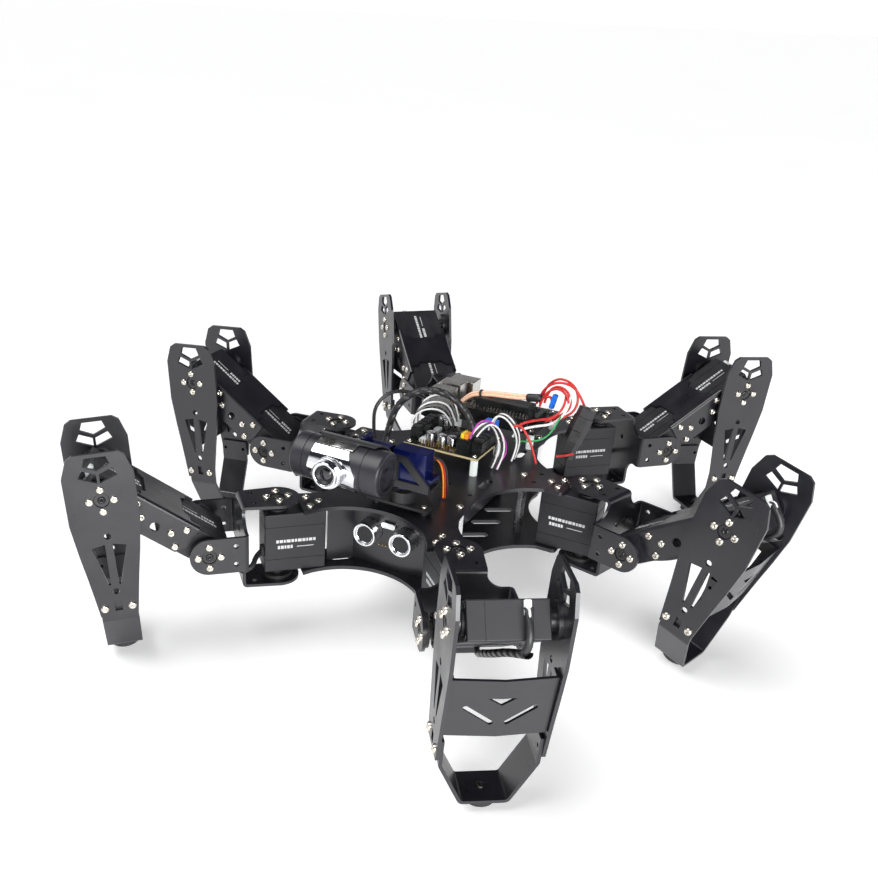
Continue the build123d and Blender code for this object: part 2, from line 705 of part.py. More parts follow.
CHEEK = 2.0
FRONT_CHEEK_Y = PAN_Y - 6.1 - 0.1
REAR_CHEEK_Y = PAN_Y + 6.1 + 0.1 + CHEEK
with BuildPart() as pan_bracket:
    with BuildSketch(Plane.XY.offset(PAN_BODY_Z - 2.1)):
        with Locations((PAN_X + 7.5, PAN_Y)):
            Rectangle(27, 2 * (6.2 + CHEEK))
        with Locations((PAN_X, PAN_Y)):
            Circle(6.4, mode=Mode.SUBTRACT)
    extrude(amount=2.0)
    # front cheek: a triangle with a triangular window
    with BuildSketch(Plane.XZ.offset(-FRONT_CHEEK_Y)):
        with BuildLine():
            Polyline(
                (PAN_X - 6, PAN_BODY_Z - 2.1),
                (PAN_X + 21, PAN_BODY_Z - 2.1),
                (PAN_X + 21, PAN_BODY_Z + 3),
                (PAN_X + 4, PAN_BODY_Z + 19),
                (PAN_X - 6, PAN_BODY_Z + 19),
                close=True,
            )
        make_face()
        with BuildLine(mode=Mode.PRIVATE) as front_window:
            Polyline(
                (PAN_X - 1, PAN_BODY_Z + 2.5),
                (PAN_X + 15, PAN_BODY_Z + 2.5),
                (PAN_X + 1.5, PAN_BODY_Z + 15),
                (PAN_X - 1, PAN_BODY_Z + 15),
                close=True,
            )
        make_face(front_window.edges(), mode=Mode.SUBTRACT)
    extrude(amount=CHEEK)
    # rear cheek: runs on behind the tilt servo
    with BuildSketch(Plane.XZ.offset(-REAR_CHEEK_Y)):
        with BuildLine():
            Polyline(
                (PAN_X - 32, PAN_BODY_Z - 2.1),
                (PAN_X + 21, PAN_BODY_Z - 2.1),
                (PAN_X + 21, PAN_BODY_Z + 3),
                (PAN_X + 4, PAN_BODY_Z + 19),
                (PAN_X - 32, PAN_BODY_Z + 19),
                close=True,
            )
        make_face()
        with BuildLine(mode=Mode.PRIVATE) as rear_window:
            Polyline(
                (PAN_X - 1, PAN_BODY_Z + 2.5),
                (PAN_X + 15, PAN_BODY_Z + 2.5),
                (PAN_X + 1.5, PAN_BODY_Z + 15),
                (PAN_X - 1, PAN_BODY_Z + 15),
                close=True,
            )
        make_face(rear_window.edges(), mode=Mode.SUBTRACT)
    extrude(amount=CHEEK)
save(pan_bracket, "pan_bracket")

# ---------------------------------------- webcam, barrel along X
BARREL_X0 = -57.0
BARREL_X1 = 6.0
LENS_X = -26.0
BARREL_LINE = Plane(origin=(BARREL_X0, BARREL_Y, TILT_Z), x_dir=(0, 1, 0), z_dir=(1, 0, 0))
with BuildPart() as camera_barrel:
    with BuildSketch(BARREL_LINE):
        Circle(BARREL_R)
    extrude(amount=BARREL_X1 - BARREL_X0)
    fillet(camera_barrel.edges().filter_by(GeomType.CIRCLE), 2.0)
    # end caps sunk a little into the barrel, and two ring grooves
    for sink_x in (0.0, BARREL_X1 - BARREL_X0 - 1.5):
        with BuildSketch(BARREL_LINE.offset(sink_x)):
            Circle(10.0)
            Circle(4.0, mode=Mode.SUBTRACT)
        extrude(amount=1.5, mode=Mode.SUBTRACT)
    for groove_x in (9.0, 50.0):
        with BuildSketch(BARREL_LINE.offset(groove_x)):
            Circle(BARREL_R + 1)
            Circle(BARREL_R - 0.4, mode=Mode.SUBTRACT)
        extrude(amount=0.6, mode=Mode.SUBTRACT)
save(camera_barrel, "camera_barrel")

# bright shield that hugs the front of the barrel, with the lens tube standing out of it
with BuildPart() as camera_lens:
    with BuildSketch(BARREL_LINE.offset(12)):
        Circle(BARREL_R + 0.9)
        Circle(BARREL_R + 0.05, mode=Mode.SUBTRACT)
    extrude(amount=36)
    with BuildSketch(Plane.XZ.offset(-BARREL_Y)):
        with BuildLine():
            Polyline(
                (LENS_X - 10, TILT_Z - 13.5),
                (LENS_X + 15, TILT_Z - 13.5),
                (LENS_X + 17, TILT_Z),
                (LENS_X + 9, TILT_Z + 13.0),
                (LENS_X - 15, TILT_Z + 13.0),
                (LENS_X - 17, TILT_Z),
                close=True,
            )
        make_face()
    extrude(amount=30, mode=Mode.INTERSECT)
    with BuildSketch(Plane.XZ.offset(-BARREL_Y + BARREL_R + 0.1)):
        with Locations((LENS_X, TILT_Z)):
            Circle(9.6)
    extrude(amount=5.5)
    with BuildSketch(Plane.XZ.offset(-BARREL_Y + BARREL_R + 5.6)):
        with Locations((LENS_X, TILT_Z)):
            Circle(8.6)
            Circle(6.4, mode=Mode.SUBTRACT)
    extrude(amount=2.6)
save(camera_lens, "camera_lens")

# clip: horn disc on the tilt servo, arm to the barrel, band round its back and a hood over the top
CLIP_X = TILT_FACE_X - 4.0 - 0.3
CLIP_PLANE = Plane(origin=(CLIP_X, PAN_Y, TILT_Z), x_dir=(0, 1, 0), z_dir=(-1, 0, 0))
with BuildPart() as camera_clip:
    with BuildSketch(CLIP_PLANE):
        Circle(7.5)
    extrude(amount=2.0)
    with BuildSketch(CLIP_PLANE):
        Circle(2.5)
    extrude(amount=-3.8)
    with BuildSketch(CLIP_PLANE.offset(0.3)):
        with Locations((-7.0, 0)):
            Rectangle(9.0, 10)
    extrude(amount=1.7)
    with BuildSketch(BARREL_LINE.offset(CLIP_X - BARREL_X0 - 4.0)):
        Circle(BARREL_R + 2.0)
        Circle(BARREL_R + 0.05, mode=Mode.SUBTRACT)
        with Locations((-12, 0)):
            Rectangle(30, 40, mode=Mode.SUBTRACT)
    extrude(amount=10)
    with BuildSketch(BARREL_LINE.offset(6)):
        Circle(BARREL_R + 2.2)
        Circle(BARREL_R + 1.1, mode=Mode.SUBTRACT)
        with Locations((0, -12)):
            Rectangle(40, 46, mode=Mode.SUBTRACT)
    extrude(amount=46)
save(camera_clip, "camera_clip")

# ---------------------------------------- boards on nylon standoffs
BOARD_Z = BASE_Z + BOARD_LIFT
BOARD_T = 1.6
with BuildPart() as board_standoffs:
    with BuildSketch(Plane.XY.offset(BASE_Z)):
        with Locations(*CONTROLLER_CORNERS, *COMPUTER_CORNERS):
            RegularPolygon(2.9, 6)
    extrude(amount=BOARD_LIFT)
save(board_standoffs, "board_standoffs")

with BuildPart() as controller_board:
    with Locations((-2.5, 0, BOARD_Z + BOARD_T / 2)):
        Box(56, 48, BOARD_T)
    # servo headers along both sides, connector block at the front right, driver chip and regulator
    with Locations((-26.0, 0, BOARD_Z + BOARD_T + 4)):
        Box(7.6, 30, 8)
    with Locations((21.0, 0, BOARD_Z + BOARD_T + 4)):
        Box(7.6, 30, 8)
    with Locations((12.5, -14, BOARD_Z + BOARD_T + 5)):
        Box(8, 12, 10)
    with Locations((-6, 3, BOARD_Z + BOARD_T + 0.8)):
        Box(12, 12, 1.6)
    with Locations((8, 12, BOARD_Z + BOARD_T + 1.2)):
        Box(9, 7, 2.4)
    # round capacitors
    with BuildSketch(Plane.XY.offset(BOARD_Z + BOARD_T)):
        with Locations((-14, -15), (-5, -16), (-16, 15), (2, -15)):
            Circle(3.4)
    extrude(amount=8)
save(controller_board, "controller_board")

with BuildPart() as computer_board:
    with Locations((-1.5, 71, BOARD_Z + BOARD_T / 2)):
        Box(85, 56, BOARD_T)
    # pin header along the front edge, two chips and a display connector
    with Locations((8.5, 46.8, BOARD_Z + BOARD_T + 4.2)):
        Box(51, 5.0, 8.4)
    with Locations((6, 72, BOARD_Z + BOARD_T + 0.9)):
        Box(14, 14, 1.8)
    with Locations((-14, 66, BOARD_Z + BOARD_T + 0.6)):
        Box(9, 9, 1.2)
    with Locations((33, 76, BOARD_Z + BOARD_T + 2)):
        Box(3.5, 22, 4)
    # power module plugged on behind the header
    with Locations((11, 60, BOARD_Z + BOARD_T + 7)):
        Box(42, 16, 14)
save(computer_board, "computer_board")

with BuildPart() as board_ports:
    # two stacked serial ports and one network port over the right-hand end of the board
    with BuildSketch(Plane.XY.offset(BOARD_Z + BOARD_T + 0.05)):
        with Locations((-37.5, 54), (-37.5, 72)):
            Rectangle(17.5, 13.3)
    extrude(amount=15.6)
    with BuildSketch(Plane.XY.offset(BOARD_Z + BOARD_T + 0.05)):
        with Locations((-35.7, 89.5)):
            Rectangle(21.0, 15.9)
    extrude(amount=13.4)
    for port_y in (54, 72):
        for port_z in (4.2, 11.8):
            with Locations((-46.2, port_y, BOARD_Z + BOARD_T + port_z)):
                Box(16, 11.8, 4.6, mode=Mode.SUBTRACT)
    with Locations((-46.2, 89.5, BOARD_Z + BOARD_T + 6.5)):
        Box(16, 11.6, 9.0, mode=Mode.SUBTRACT)
save(board_ports, "board_ports")

# ---------------------------------------- wires that the chassis holds, with their plugs
with BuildPart() as wiring_harness:
    for diameter, points in WIRES.values():
        add(tube(diameter, points))
    # plug on the loops behind, and the taped connector that leans by the left rear hip
    with Locations(Location((46, 60.5, 127), (0, 12, 0))):
        Box(7, 5, 11)
    with Locations(Location((71.5, 57, 108), (-14, -8, 10))):
        Box(9, 12, 28)
save(wiring_harness, "wiring_harness")
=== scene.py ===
"""Looks of the six-legged robot: camera, light, materials, fasteners, labels, wires, boards.

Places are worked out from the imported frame, from node boxes, joint axes and the design's own sizes.
Lengths are metres; MM turns the design's millimetres into metres.
"""

import json
from math import cos, pi, radians, sin
from random import Random

import bmesh
import bpy
import numpy as np
from mathutils import Matrix, Vector


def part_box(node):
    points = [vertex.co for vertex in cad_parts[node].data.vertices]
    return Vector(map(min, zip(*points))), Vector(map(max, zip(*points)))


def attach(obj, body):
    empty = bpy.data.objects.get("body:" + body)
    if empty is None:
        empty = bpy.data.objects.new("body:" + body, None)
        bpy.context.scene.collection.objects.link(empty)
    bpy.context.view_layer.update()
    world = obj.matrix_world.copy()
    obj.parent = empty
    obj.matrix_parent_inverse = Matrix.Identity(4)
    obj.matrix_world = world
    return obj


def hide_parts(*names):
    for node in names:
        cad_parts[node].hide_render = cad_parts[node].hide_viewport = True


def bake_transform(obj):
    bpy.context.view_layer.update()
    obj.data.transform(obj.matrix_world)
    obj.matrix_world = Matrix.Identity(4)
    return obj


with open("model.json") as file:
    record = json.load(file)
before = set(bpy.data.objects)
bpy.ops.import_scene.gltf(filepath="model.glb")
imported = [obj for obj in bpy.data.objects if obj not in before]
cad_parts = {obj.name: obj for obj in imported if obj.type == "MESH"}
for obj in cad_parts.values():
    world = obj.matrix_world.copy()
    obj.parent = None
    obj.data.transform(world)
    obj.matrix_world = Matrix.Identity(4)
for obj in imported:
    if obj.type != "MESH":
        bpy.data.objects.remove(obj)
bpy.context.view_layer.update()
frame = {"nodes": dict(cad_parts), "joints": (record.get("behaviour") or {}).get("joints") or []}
MM = 0.001
UP = Vector((0, 0, 1))

# ---------------------------------------------------------------- sizes from the design (mm)
SERVO_LONG, SERVO_WIDE, SERVO_TALL = 40.0, 20.0, 41.0
SHAFT_FROM_END = 10.0
FLANGE_OUTER = 28.7
SCREW_CIRCLE = 7.0
CASE_SCREWS = [(-20.0, 6.5), (-20.0, -6.5), (-27.0, 0.0)]
COVER_OUTER = 22.1
HORN_RECESS = 1.4  # how far a horn's middle screw sits below the sheet's face
CAP_SCREW_X, CAP_SCREW_Y, CAP_SCREW_SINK = 16.5, 7.2, 0.3
FOOT_SCREW_X, FOOT_SCREW_Z = 8.2, -72.4
FOOT_STRIP_Z = -108.0
HIP_Z = 69.3  # middle of the hip servos above the floor
DECK, BELLY = 92.3, 46.3  # upper face of the top plate, lower face of the bottom plate
BOARD_TOP = 105.9
BOARD_SIDE_Z = 104.35
PORT_TOP = 113.9
EYE_X, EYE_Z = 13, 74.0
PAN_X, PAN_Y, PAN_BASE_TOP = 4, -91, 97.1
PIN_PITCH, PIN_SIDE = 2.54, 0.64
BARREL_X0, BARREL_X1, BARREL_Y, BARREL_Z, BARREL_R = -57, 6, -118, 124, 14.5
LENS_X, LENS_TUBE = -26, 5.6
LEAD, LOOP_LEAD, SLEEVE, JOINT_LEAD = 1.3, 1.8, 4.0, 3.4  # wire diameters
ARCH_WIDE, WEBCAM_CABLE = 4.5, 2.6
SHIN_LEAN = {
    "right_front": -4.0,
    "left_front": -3.5,
    "left_middle": -13.0,
    "left_rear": -3.0,
    "right_rear": -15.0,
    "right_middle": -4.0,
}
ARM_TURN = {
    "right_front": 225.0,
    "left_front": -45.0,
    "left_middle": 0.0,
    "left_rear": 45.0,
    "right_rear": 135.0,
    "right_middle": 180.0,
}

joint_at = {j["name"]: Vector(j["pos_m"]) for j in frame["joints"]}
plate_low, plate_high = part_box("top_plate")
MIDDLE = (plate_low + plate_high) / 2


def at(x, y, z):
    """A point given in the design's millimetres from the chassis middle on the floor."""
    return Vector((MIDDLE.x + x * MM, MIDDLE.y + y * MM, z * MM))


def axes(origin, x_axis, z_axis):
    """A placement matrix from its origin and two directions."""
    z = z_axis.normalized()
    x = (x_axis - z * x_axis.dot(z)).normalized()
    y = z.cross(x)
    place = Matrix((x, y, z)).transposed().to_4x4()
    place.translation = origin
    return place


class Leg:
    """Placements of a leg's hip, thigh and shin (Y along their hinges) and of its chassis arm."""

    def __init__(self, name):
        self.name = name
        hip = joint_at[f"{name}_hip_yaw"]
        thigh = joint_at[f"{name}_thigh_pitch"]
        shin = joint_at[f"{name}_shin_pitch"]
        out = Vector((thigh.x - hip.x, thigh.y - hip.y, 0)).normalized()
        self.hip = axes(hip, out, UP)
        self.thigh_hub = axes(thigh, out, UP)
        along = (shin - thigh).normalized()
        self.thigh = axes(thigh, along, along.cross(UP.cross(out)))
        lean = radians(SHIN_LEAN[name])
        shin_up = UP * cos(lean) - out * sin(lean)
        self.shin = axes(shin, out, shin_up)
        self.thigh_length = (shin - thigh).length / MM
        turn = radians(ARM_TURN[name])
        self.arm = axes(hip, Vector((cos(turn), sin(turn), 0)), UP)


LEGS = {name: Leg(name) for name in SHIN_LEAN}
UPRIGHT = Matrix.Translation(at(0, 0, 0))


def spot(place, x, y, z, normal=(0, 0, 1), turn=0.0):
    """A placement inside another one: a point in mm, with +Z turned to the given normal."""
    n = Vector(normal)
    side = Vector((1, 0, 0)) if abs(n.x) < 0.9 else Vector((0, 1, 0))
    local = axes(Vector((x, y, z)) * MM, side, n)
    return place @ local @ Matrix.Rotation(turn, 4, "Z")


# ---------------------------------------------------------------- materials
class Shader:
    """A node material with the few helpers that the recipes below share."""

    def __init__(self, name):
        self.material = bpy.data.materials.new(name)
        self.material.use_nodes = True
        self.nodes = self.material.node_tree.nodes
        self.links = self.material.node_tree.links
        self.base = self.nodes["Principled BSDF"]
        self.where = self.nodes.new("ShaderNodeTexCoord").outputs["Object"]

    def noise(self, scale, detail=3.0, roughness=0.5):
        node = self.nodes.new("ShaderNodeTexNoise")
        node.inputs["Scale"].default_value = scale
        node.inputs["Detail"].default_value = detail
        node.inputs["Roughness"].default_value = roughness
        self.links.new(self.where, node.inputs["Vector"])
        return node.outputs["Fac"]

    def colours(self, fac, low, high, start=0.3, end=0.7):
        ramp = self.nodes.new("ShaderNodeValToRGB")
        ramp.color_ramp.elements[0].position = start
        ramp.color_ramp.elements[1].position = end
        ramp.color_ramp.elements[0].color = (*low, 1)
        ramp.color_ramp.elements[1].color = (*high, 1)
        self.links.new(fac, ramp.inputs["Fac"])
        self.links.new(ramp.outputs["Color"], self.base.inputs["Base Color"])

    def spread(self, fac, socket, low, high):
        node = self.nodes.new("ShaderNodeMapRange")
        node.inputs["From Min"].default_value = 0.3
        node.inputs["From Max"].default_value = 0.7
        node.inputs["To Min"].default_value = low
        node.inputs["To Max"].default_value = high
        self.links.new(fac, node.inputs["Value"])
        self.links.new(node.outputs["Result"], self.base.inputs[socket])

    def bump(self, fac, strength, distance):
        node = self.nodes.new("ShaderNodeBump")
        node.inputs["Strength"].default_value = strength
        node.inputs["Distance"].default_value = distance
        self.links.new(fac, node.inputs["Height"])
        self.links.new(node.outputs["Normal"], self.base.inputs["Normal"])

    def set(self, **values):
        for name, value in values.items():
            self.base.inputs[name.replace("_", " ")].default_value = value
        return self.material


def grained(name, low, high, rough, grain, bump, blotch=60.0, **values):
    """Cloudy colour and roughness with a fine surface grain: sheet metal, plastic and rubber."""
    shader = Shader(name)
    cloud = shader.noise(blotch, 4.0)
    shader.colours(cloud, low, high)
    shader.spread(cloud, "Roughness", rough[0], rough[1])
    shader.bump(shader.noise(grain, 2.0), bump, 0.0002)
    return shader.set(**values)


M = {
    "sheet": grained(
        "black_anodised_sheet", (0.006, 0.006, 0.009), (0.010, 0.010, 0.014), (0.27, 0.36), 2600,
        0.10, Specular_IOR_Level=0.75,
    ),
    "servo": grained(
        "servo_case_plastic", (0.008, 0.008, 0.011), (0.014, 0.014, 0.018), (0.44, 0.56), 3800,
        0.35,
    ),
    "horn": grained(
        "horn_plastic", (0.012, 0.012, 0.012), (0.020, 0.020, 0.020), (0.38, 0.5), 3000, 0.2,
    ),
    "rubber": grained(
        "foot_rubber", (0.015, 0.015, 0.016), (0.030, 0.030, 0.031), (0.7, 0.85), 2200, 0.5,
    ),
    "black_plastic": grained(
        "black_bracket_plastic", (0.012, 0.012, 0.013), (0.020, 0.020, 0.022), (0.35, 0.5), 2400,
        0.25,
    ),
    "camera": grained(
        "camera_body_plastic", (0.016, 0.016, 0.021), (0.024, 0.024, 0.030), (0.34, 0.44), 3500,
        0.2,
    ),
    "screw": grained(
        "nickel_screw", (0.62, 0.58, 0.50), (0.78, 0.74, 0.66), (0.18, 0.34), 1500, 0.1, 300.0,
        Metallic=1.0,
    ),
    "dark_screw": grained(
        "black_screw", (0.02, 0.02, 0.022), (0.05, 0.05, 0.052), (0.25, 0.4), 1500, 0.1, 300.0,
        Metallic=0.8,
    ),
    "chrome": grained(
        "bright_chrome", (0.78, 0.79, 0.82), (0.88, 0.89, 0.92), (0.04, 0.10), 900, 0.02, 90.0,
        Metallic=1.0,
    ),
    "steel": grained(
        "tinned_steel", (0.52, 0.51, 0.48), (0.70, 0.69, 0.65), (0.20, 0.36), 1200, 0.08, 120.0,
        Metallic=1.0,
    ),
    "aluminium": grained(
        "turned_aluminium", (0.66, 0.66, 0.68), (0.80, 0.80, 0.82), (0.22, 0.36), 1800, 0.1, 150.0,
        Metallic=1.0,
    ),
    "gold": grained(
        "gold_plating", (0.72, 0.50, 0.16), (0.86, 0.64, 0.26), (0.2, 0.35), 1500, 0.05, 200.0,
        Metallic=1.0,
    ),
    "nylon": grained(
        "white_nylon", (0.70, 0.70, 0.67), (0.82, 0.82, 0.80), (0.35, 0.5), 1800, 0.1, 90.0,
        Subsurface_Weight=0.15,
    ),
    "board": grained(
        "black_solder_mask", (0.006, 0.007, 0.007), (0.014, 0.015, 0.015), (0.22, 0.34), 900, 0.12,
        140.0,
    ),
    "battery": grained(
        "battery_wrap", (0.012, 0.012, 0.016), (0.024, 0.024, 0.03), (0.28, 0.4), 700, 0.2, 40.0,
    ),
    "label": grained(
        "printed_mark", (0.50, 0.50, 0.50), (0.66, 0.66, 0.66), (0.45, 0.6), 2500, 0.1, 900.0,
    ),
    "lens": grained(
        "lens_glass", (0.004, 0.004, 0.008), (0.010, 0.010, 0.018), (0.02, 0.05), 400, 0.01, 40.0,
        Coat_Weight=1.0,
    ),
    "mesh": grained(
        "transducer_mesh", (0.020, 0.020, 0.022), (0.055, 0.055, 0.058), (0.35, 0.6), 5200, 0.9,
        2400.0, Metallic=0.6,
    ),
    "black_wire": grained(
        "black_wire", (0.012, 0.012, 0.013), (0.026, 0.026, 0.028), (0.32, 0.45), 1500, 0.15, 500.0,
    ),
    "grey_wire": grained(
        "grey_wire", (0.10, 0.10, 0.105), (0.16, 0.16, 0.165), (0.35, 0.5), 1500, 0.1, 500.0,
    ),
    "white_wire": grained(
        "white_wire", (0.66, 0.66, 0.65), (0.80, 0.80, 0.79), (0.35, 0.5), 1500, 0.1, 500.0,
    ),
    "red_wire": grained(
        "red_wire", (0.42, 0.012, 0.010), (0.60, 0.030, 0.022), (0.32, 0.45), 1500, 0.1, 500.0,
    ),
    "cream_wire": grained(
        "cream_wire", (0.80, 0.45, 0.30), (0.90, 0.62, 0.44), (0.35, 0.5), 1500, 0.1, 400.0,
    ),
    "purple_wire": grained(
        "purple_wire", (0.30, 0.02, 0.26), (0.45, 0.04, 0.38), (0.35, 0.5), 1500, 0.1, 500.0,
    ),
    "green_wire": grained(
        "green_wire", (0.01, 0.24, 0.06), (0.02, 0.36, 0.10), (0.35, 0.5), 1500, 0.1, 500.0,
    ),
    "orange_wire": grained(
        "orange_wire", (0.75, 0.22, 0.01), (0.88, 0.32, 0.03), (0.35, 0.5), 1500, 0.1, 500.0,
    ),
    "yellow": grained(
        "yellow_plastic", (0.80, 0.55, 0.02), (0.90, 0.68, 0.05), (0.35, 0.5), 1500, 0.1, 300.0,
    ),
    "bright_blue": grained(
        "bright_blue_plastic", (0.01, 0.12, 0.62), (0.02, 0.20, 0.80), (0.3, 0.42), 1500, 0.1,
        300.0,
    ),
    "tape": grained(
        "wound_black_tape", (0.010, 0.010, 0.011), (0.024, 0.024, 0.026), (0.25, 0.42), 600, 0.5,
        160.0,
    ),
    "board_edge": grained(
        "board_edge", (0.40, 0.33, 0.18), (0.52, 0.44, 0.26), (0.45, 0.6), 2500, 0.3, 900.0,
    ),
    "blue": grained(
        "translucent_blue", (0.002, 0.004, 0.040), (0.004, 0.009, 0.095), (0.12, 0.22), 900, 0.05,
        60.0, Transmission_Weight=0.3,
    ),
}

NODE_MATERIAL = {
    "hip_bracket": "sheet",
    "thigh_cover": "sheet",
    "shin_frame": "sheet",
    "top_plate": "sheet",
    "bottom_plate": "sheet",
    "sensor_panel": "sheet",
    "hip_horns": "horn",
    "thigh_servos": "servo",
    "hip_servos": "servo",
    "rubber_foot": "rubber",
    "plate_spacers": "aluminium",
    "battery_pack": "battery",
    "ultrasonic_sensor": "aluminium",
    "pan_base": "black_plastic",
    "pan_bracket": "black_plastic",
    "camera_clip": "black_plastic",
    "camera_barrel": "camera",
    "camera_lens": "chrome",
    "micro_servos": "blue",
    "board_standoffs": "nylon",
    "controller_board": "board",
    "computer_board": "board",
    "board_ports": "steel",
    "servo_lead": "black_wire",
    "wiring_harness": "black_wire",
}
for node_name, node in frame["nodes"].items():
    kind = next(k for k in NODE_MATERIAL if node_name == k or node_name.endswith("_" + k))
    node.data.materials.clear()
    node.data.materials.append(M[NODE_MATERIAL[kind]])


# ---------------------------------------------------------------- mesh helpers
def new_piece(name, verts, faces, material, body, smooth=False):
    """A mesh object that rides on the given body."""
    mesh = bpy.data.meshes.new(name)
    mesh.from_pydata([tuple(v) for v in verts], [], faces)
    mesh.update()
    if smooth:
        mesh.shade_smooth()
    piece = bpy.data.objects.new(name, mesh)
    bpy.context.scene.collection.objects.link(piece)
    piece.data.materials.append(material)
    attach(piece, body)
    return piece


def copies(name, template, places, material, body, smooth=False):
    """One object made of the template mesh (verts, faces) repeated at every placement."""
    base, faces = template
    base = np.asarray(base, float)
    verts = []
    all_faces = []
    for step, place in enumerate(places):
        m = np.array(place)
        verts.append(base @ m[:3, :3].T + m[:3, 3])
        start = step * len(base)
        all_faces.extend([tuple(i + start for i in f) for f in faces])
    return new_piece(name, np.vstack(verts), all_faces, material, body, smooth)


def joined(parts):
    """Several (verts, faces) meshes as one."""
    verts, faces = [], []
    for part_verts, part_faces in parts:
        start = len(verts)
        verts.extend(part_verts)
        faces.extend(tuple(i + start for i in face) for face in part_faces)
    return verts, faces


def mesh_of(build):
    """Runs build on an empty bmesh and returns its (verts, faces)."""
    bm = bmesh.new()
    build(bm)
    bm.verts.ensure_lookup_table()
    verts = [tuple(v.co) for v in bm.verts]
    faces = [tuple(v.index for v in f.verts) for f in bm.faces]
    bm.free()
    return verts, faces


def turned(profile, sides=20):
    """A lathe shape about Z from (radius, height) points in mm; the ends at radius 0 close it."""
    verts = []
    faces = []
    rings = []
    for r, z in profile:
        if r == 0:
            rings.append([len(verts)])
            verts.append((0, 0, z * MM))
        else:
            rings.append(list(range(len(verts), len(verts) + sides)))
            for i in range(sides):
                a = 2 * pi * i / sides
                verts.append((r * MM * cos(a), r * MM * sin(a), z * MM))
    for low, high in zip(rings, rings[1:]):
        for i in range(sides):
            j = (i + 1) % sides
            if len(low) == 1:
                faces.append((low[0], high[j], high[i]))
            elif len(high) == 1:
                faces.append((low[i], low[j], high[0]))
            else:
                faces.append((low[i], low[j], high[j], high[i]))
    return verts, faces


def bar(x, y, z, bevel=0.15):
    """A bevelled block x by y by z mm, standing on z = 0."""

    def build(bm):
        bmesh.ops.create_cube(bm, size=1.0)
        for v in bm.verts:
            v.co = Vector((v.co.x * x, v.co.y * y, (v.co.z + 0.5) * z)) * MM
        bmesh.ops.bevel(bm, geom=bm.edges[:], offset=bevel * MM, segments=2, affect="EDGES")

    return mesh_of(build)


def screw_head(radius, height):
    """Pan head with a cross recess, standing on z = 0."""

    def build(bm):
        steps = 28
        rim = []
        rings = [
            (radius, 0.0), (radius, height * 0.45), (radius * 0.86, height * 0.8),
            (radius * 0.62, height),
        ]
        for r, z in rings:
            turns = [2 * pi * i / steps for i in range(steps)]
            rim.append([bm.verts.new((r * MM * cos(a), r * MM * sin(a), z * MM)) for a in turns])
        for low, high in zip(rim, rim[1:]):
            for i in range(steps):
                j = (i + 1) % steps
                bm.faces.new((low[i], low[j], high[j], high[i]))
        # cross outline on the top, then its sunk floor
        w, reach, depth = radius * 0.13, radius * 0.5, height * 0.6
        cross = []
        for quarter in range(4):
            a = quarter * pi / 2
            for px, py in ((reach, -w), (reach, w), (w, w)):
                cross.append((px * cos(a) - py * sin(a), px * sin(a) + py * cos(a)))
        top = [bm.verts.new((x * MM, y * MM, height * MM)) for x, y in cross]
        floor = [
            bm.verts.new((x * 0.7 * MM, y * 0.7 * MM, (height - depth) * MM)) for x, y in cross
        ]
        count = len(cross)
        for i in range(count):
            j = (i + 1) % count
            bm.faces.new((top[j], top[i], floor[i], floor[j]))
        bm.faces.new(floor)
        top_z = height * MM
        top_edges = [
            e
            for e in bm.edges
            if e.is_boundary and all(abs(v.co.z - top_z) < 1e-9 for v in e.verts)
        ]
        bmesh.ops.triangle_fill(bm, use_beauty=True, use_dissolve=False, edges=top_edges)
        bmesh.ops.recalc_face_normals(bm, faces=bm.faces[:])

    return mesh_of(build)


HEAD = screw_head(2.35, 1.5)
PLATE_HEAD = screw_head(2.5, 1.6)
SMALL_HEAD = screw_head(1.7, 1.1)


# ---------------------------------------------------------------- camera, floor and light
CAMERA_PLACE = (259.2, -621.4, 377.7)
CAMERA_RIGHT = (0.868400, 0.494274, 0.039674)
CAMERA_BACK = (0.424900, -0.782983, 0.454311)
FOCAL_MM = 41.62
SHIFT_X, SHIFT_Y = 0.0934, 0.0960
FLOOR_SIZE, FLOOR_GLOW = 60.0, 0.30
SKY_STRENGTH = 1.05
SKY_WHITE_TO, SKY_DARK_FROM = 0.16, 0.36  # heights on the sky: 0 at the horizon, 1 overhead
SUN_STRENGTH, SUN_SPREAD = 2.6, 50
SUN_FROM = (-0.35, -0.30, 0.88)
SOFTBOX_PLACE, SOFTBOX_TARGET = (1150, -1250, 330), (0, 0, 60)
SOFTBOX_SIZE, SOFTBOX_POWER = (1.4, 1.0), 44


def make_camera():
    """Stands in front of the robot, on its left and a little above it."""
    camera = bpy.data.cameras.new("view")
    camera.sensor_width = 36.0
    camera.lens = FOCAL_MM
    camera.shift_x = SHIFT_X
    camera.shift_y = SHIFT_Y
    camera.clip_start = 0.01
    holder = bpy.data.objects.new("view", camera)
    bpy.context.scene.collection.objects.link(holder)
    holder.matrix_world = axes(at(*CAMERA_PLACE), Vector(CAMERA_RIGHT), Vector(CAMERA_BACK))
    bpy.context.scene.camera = holder


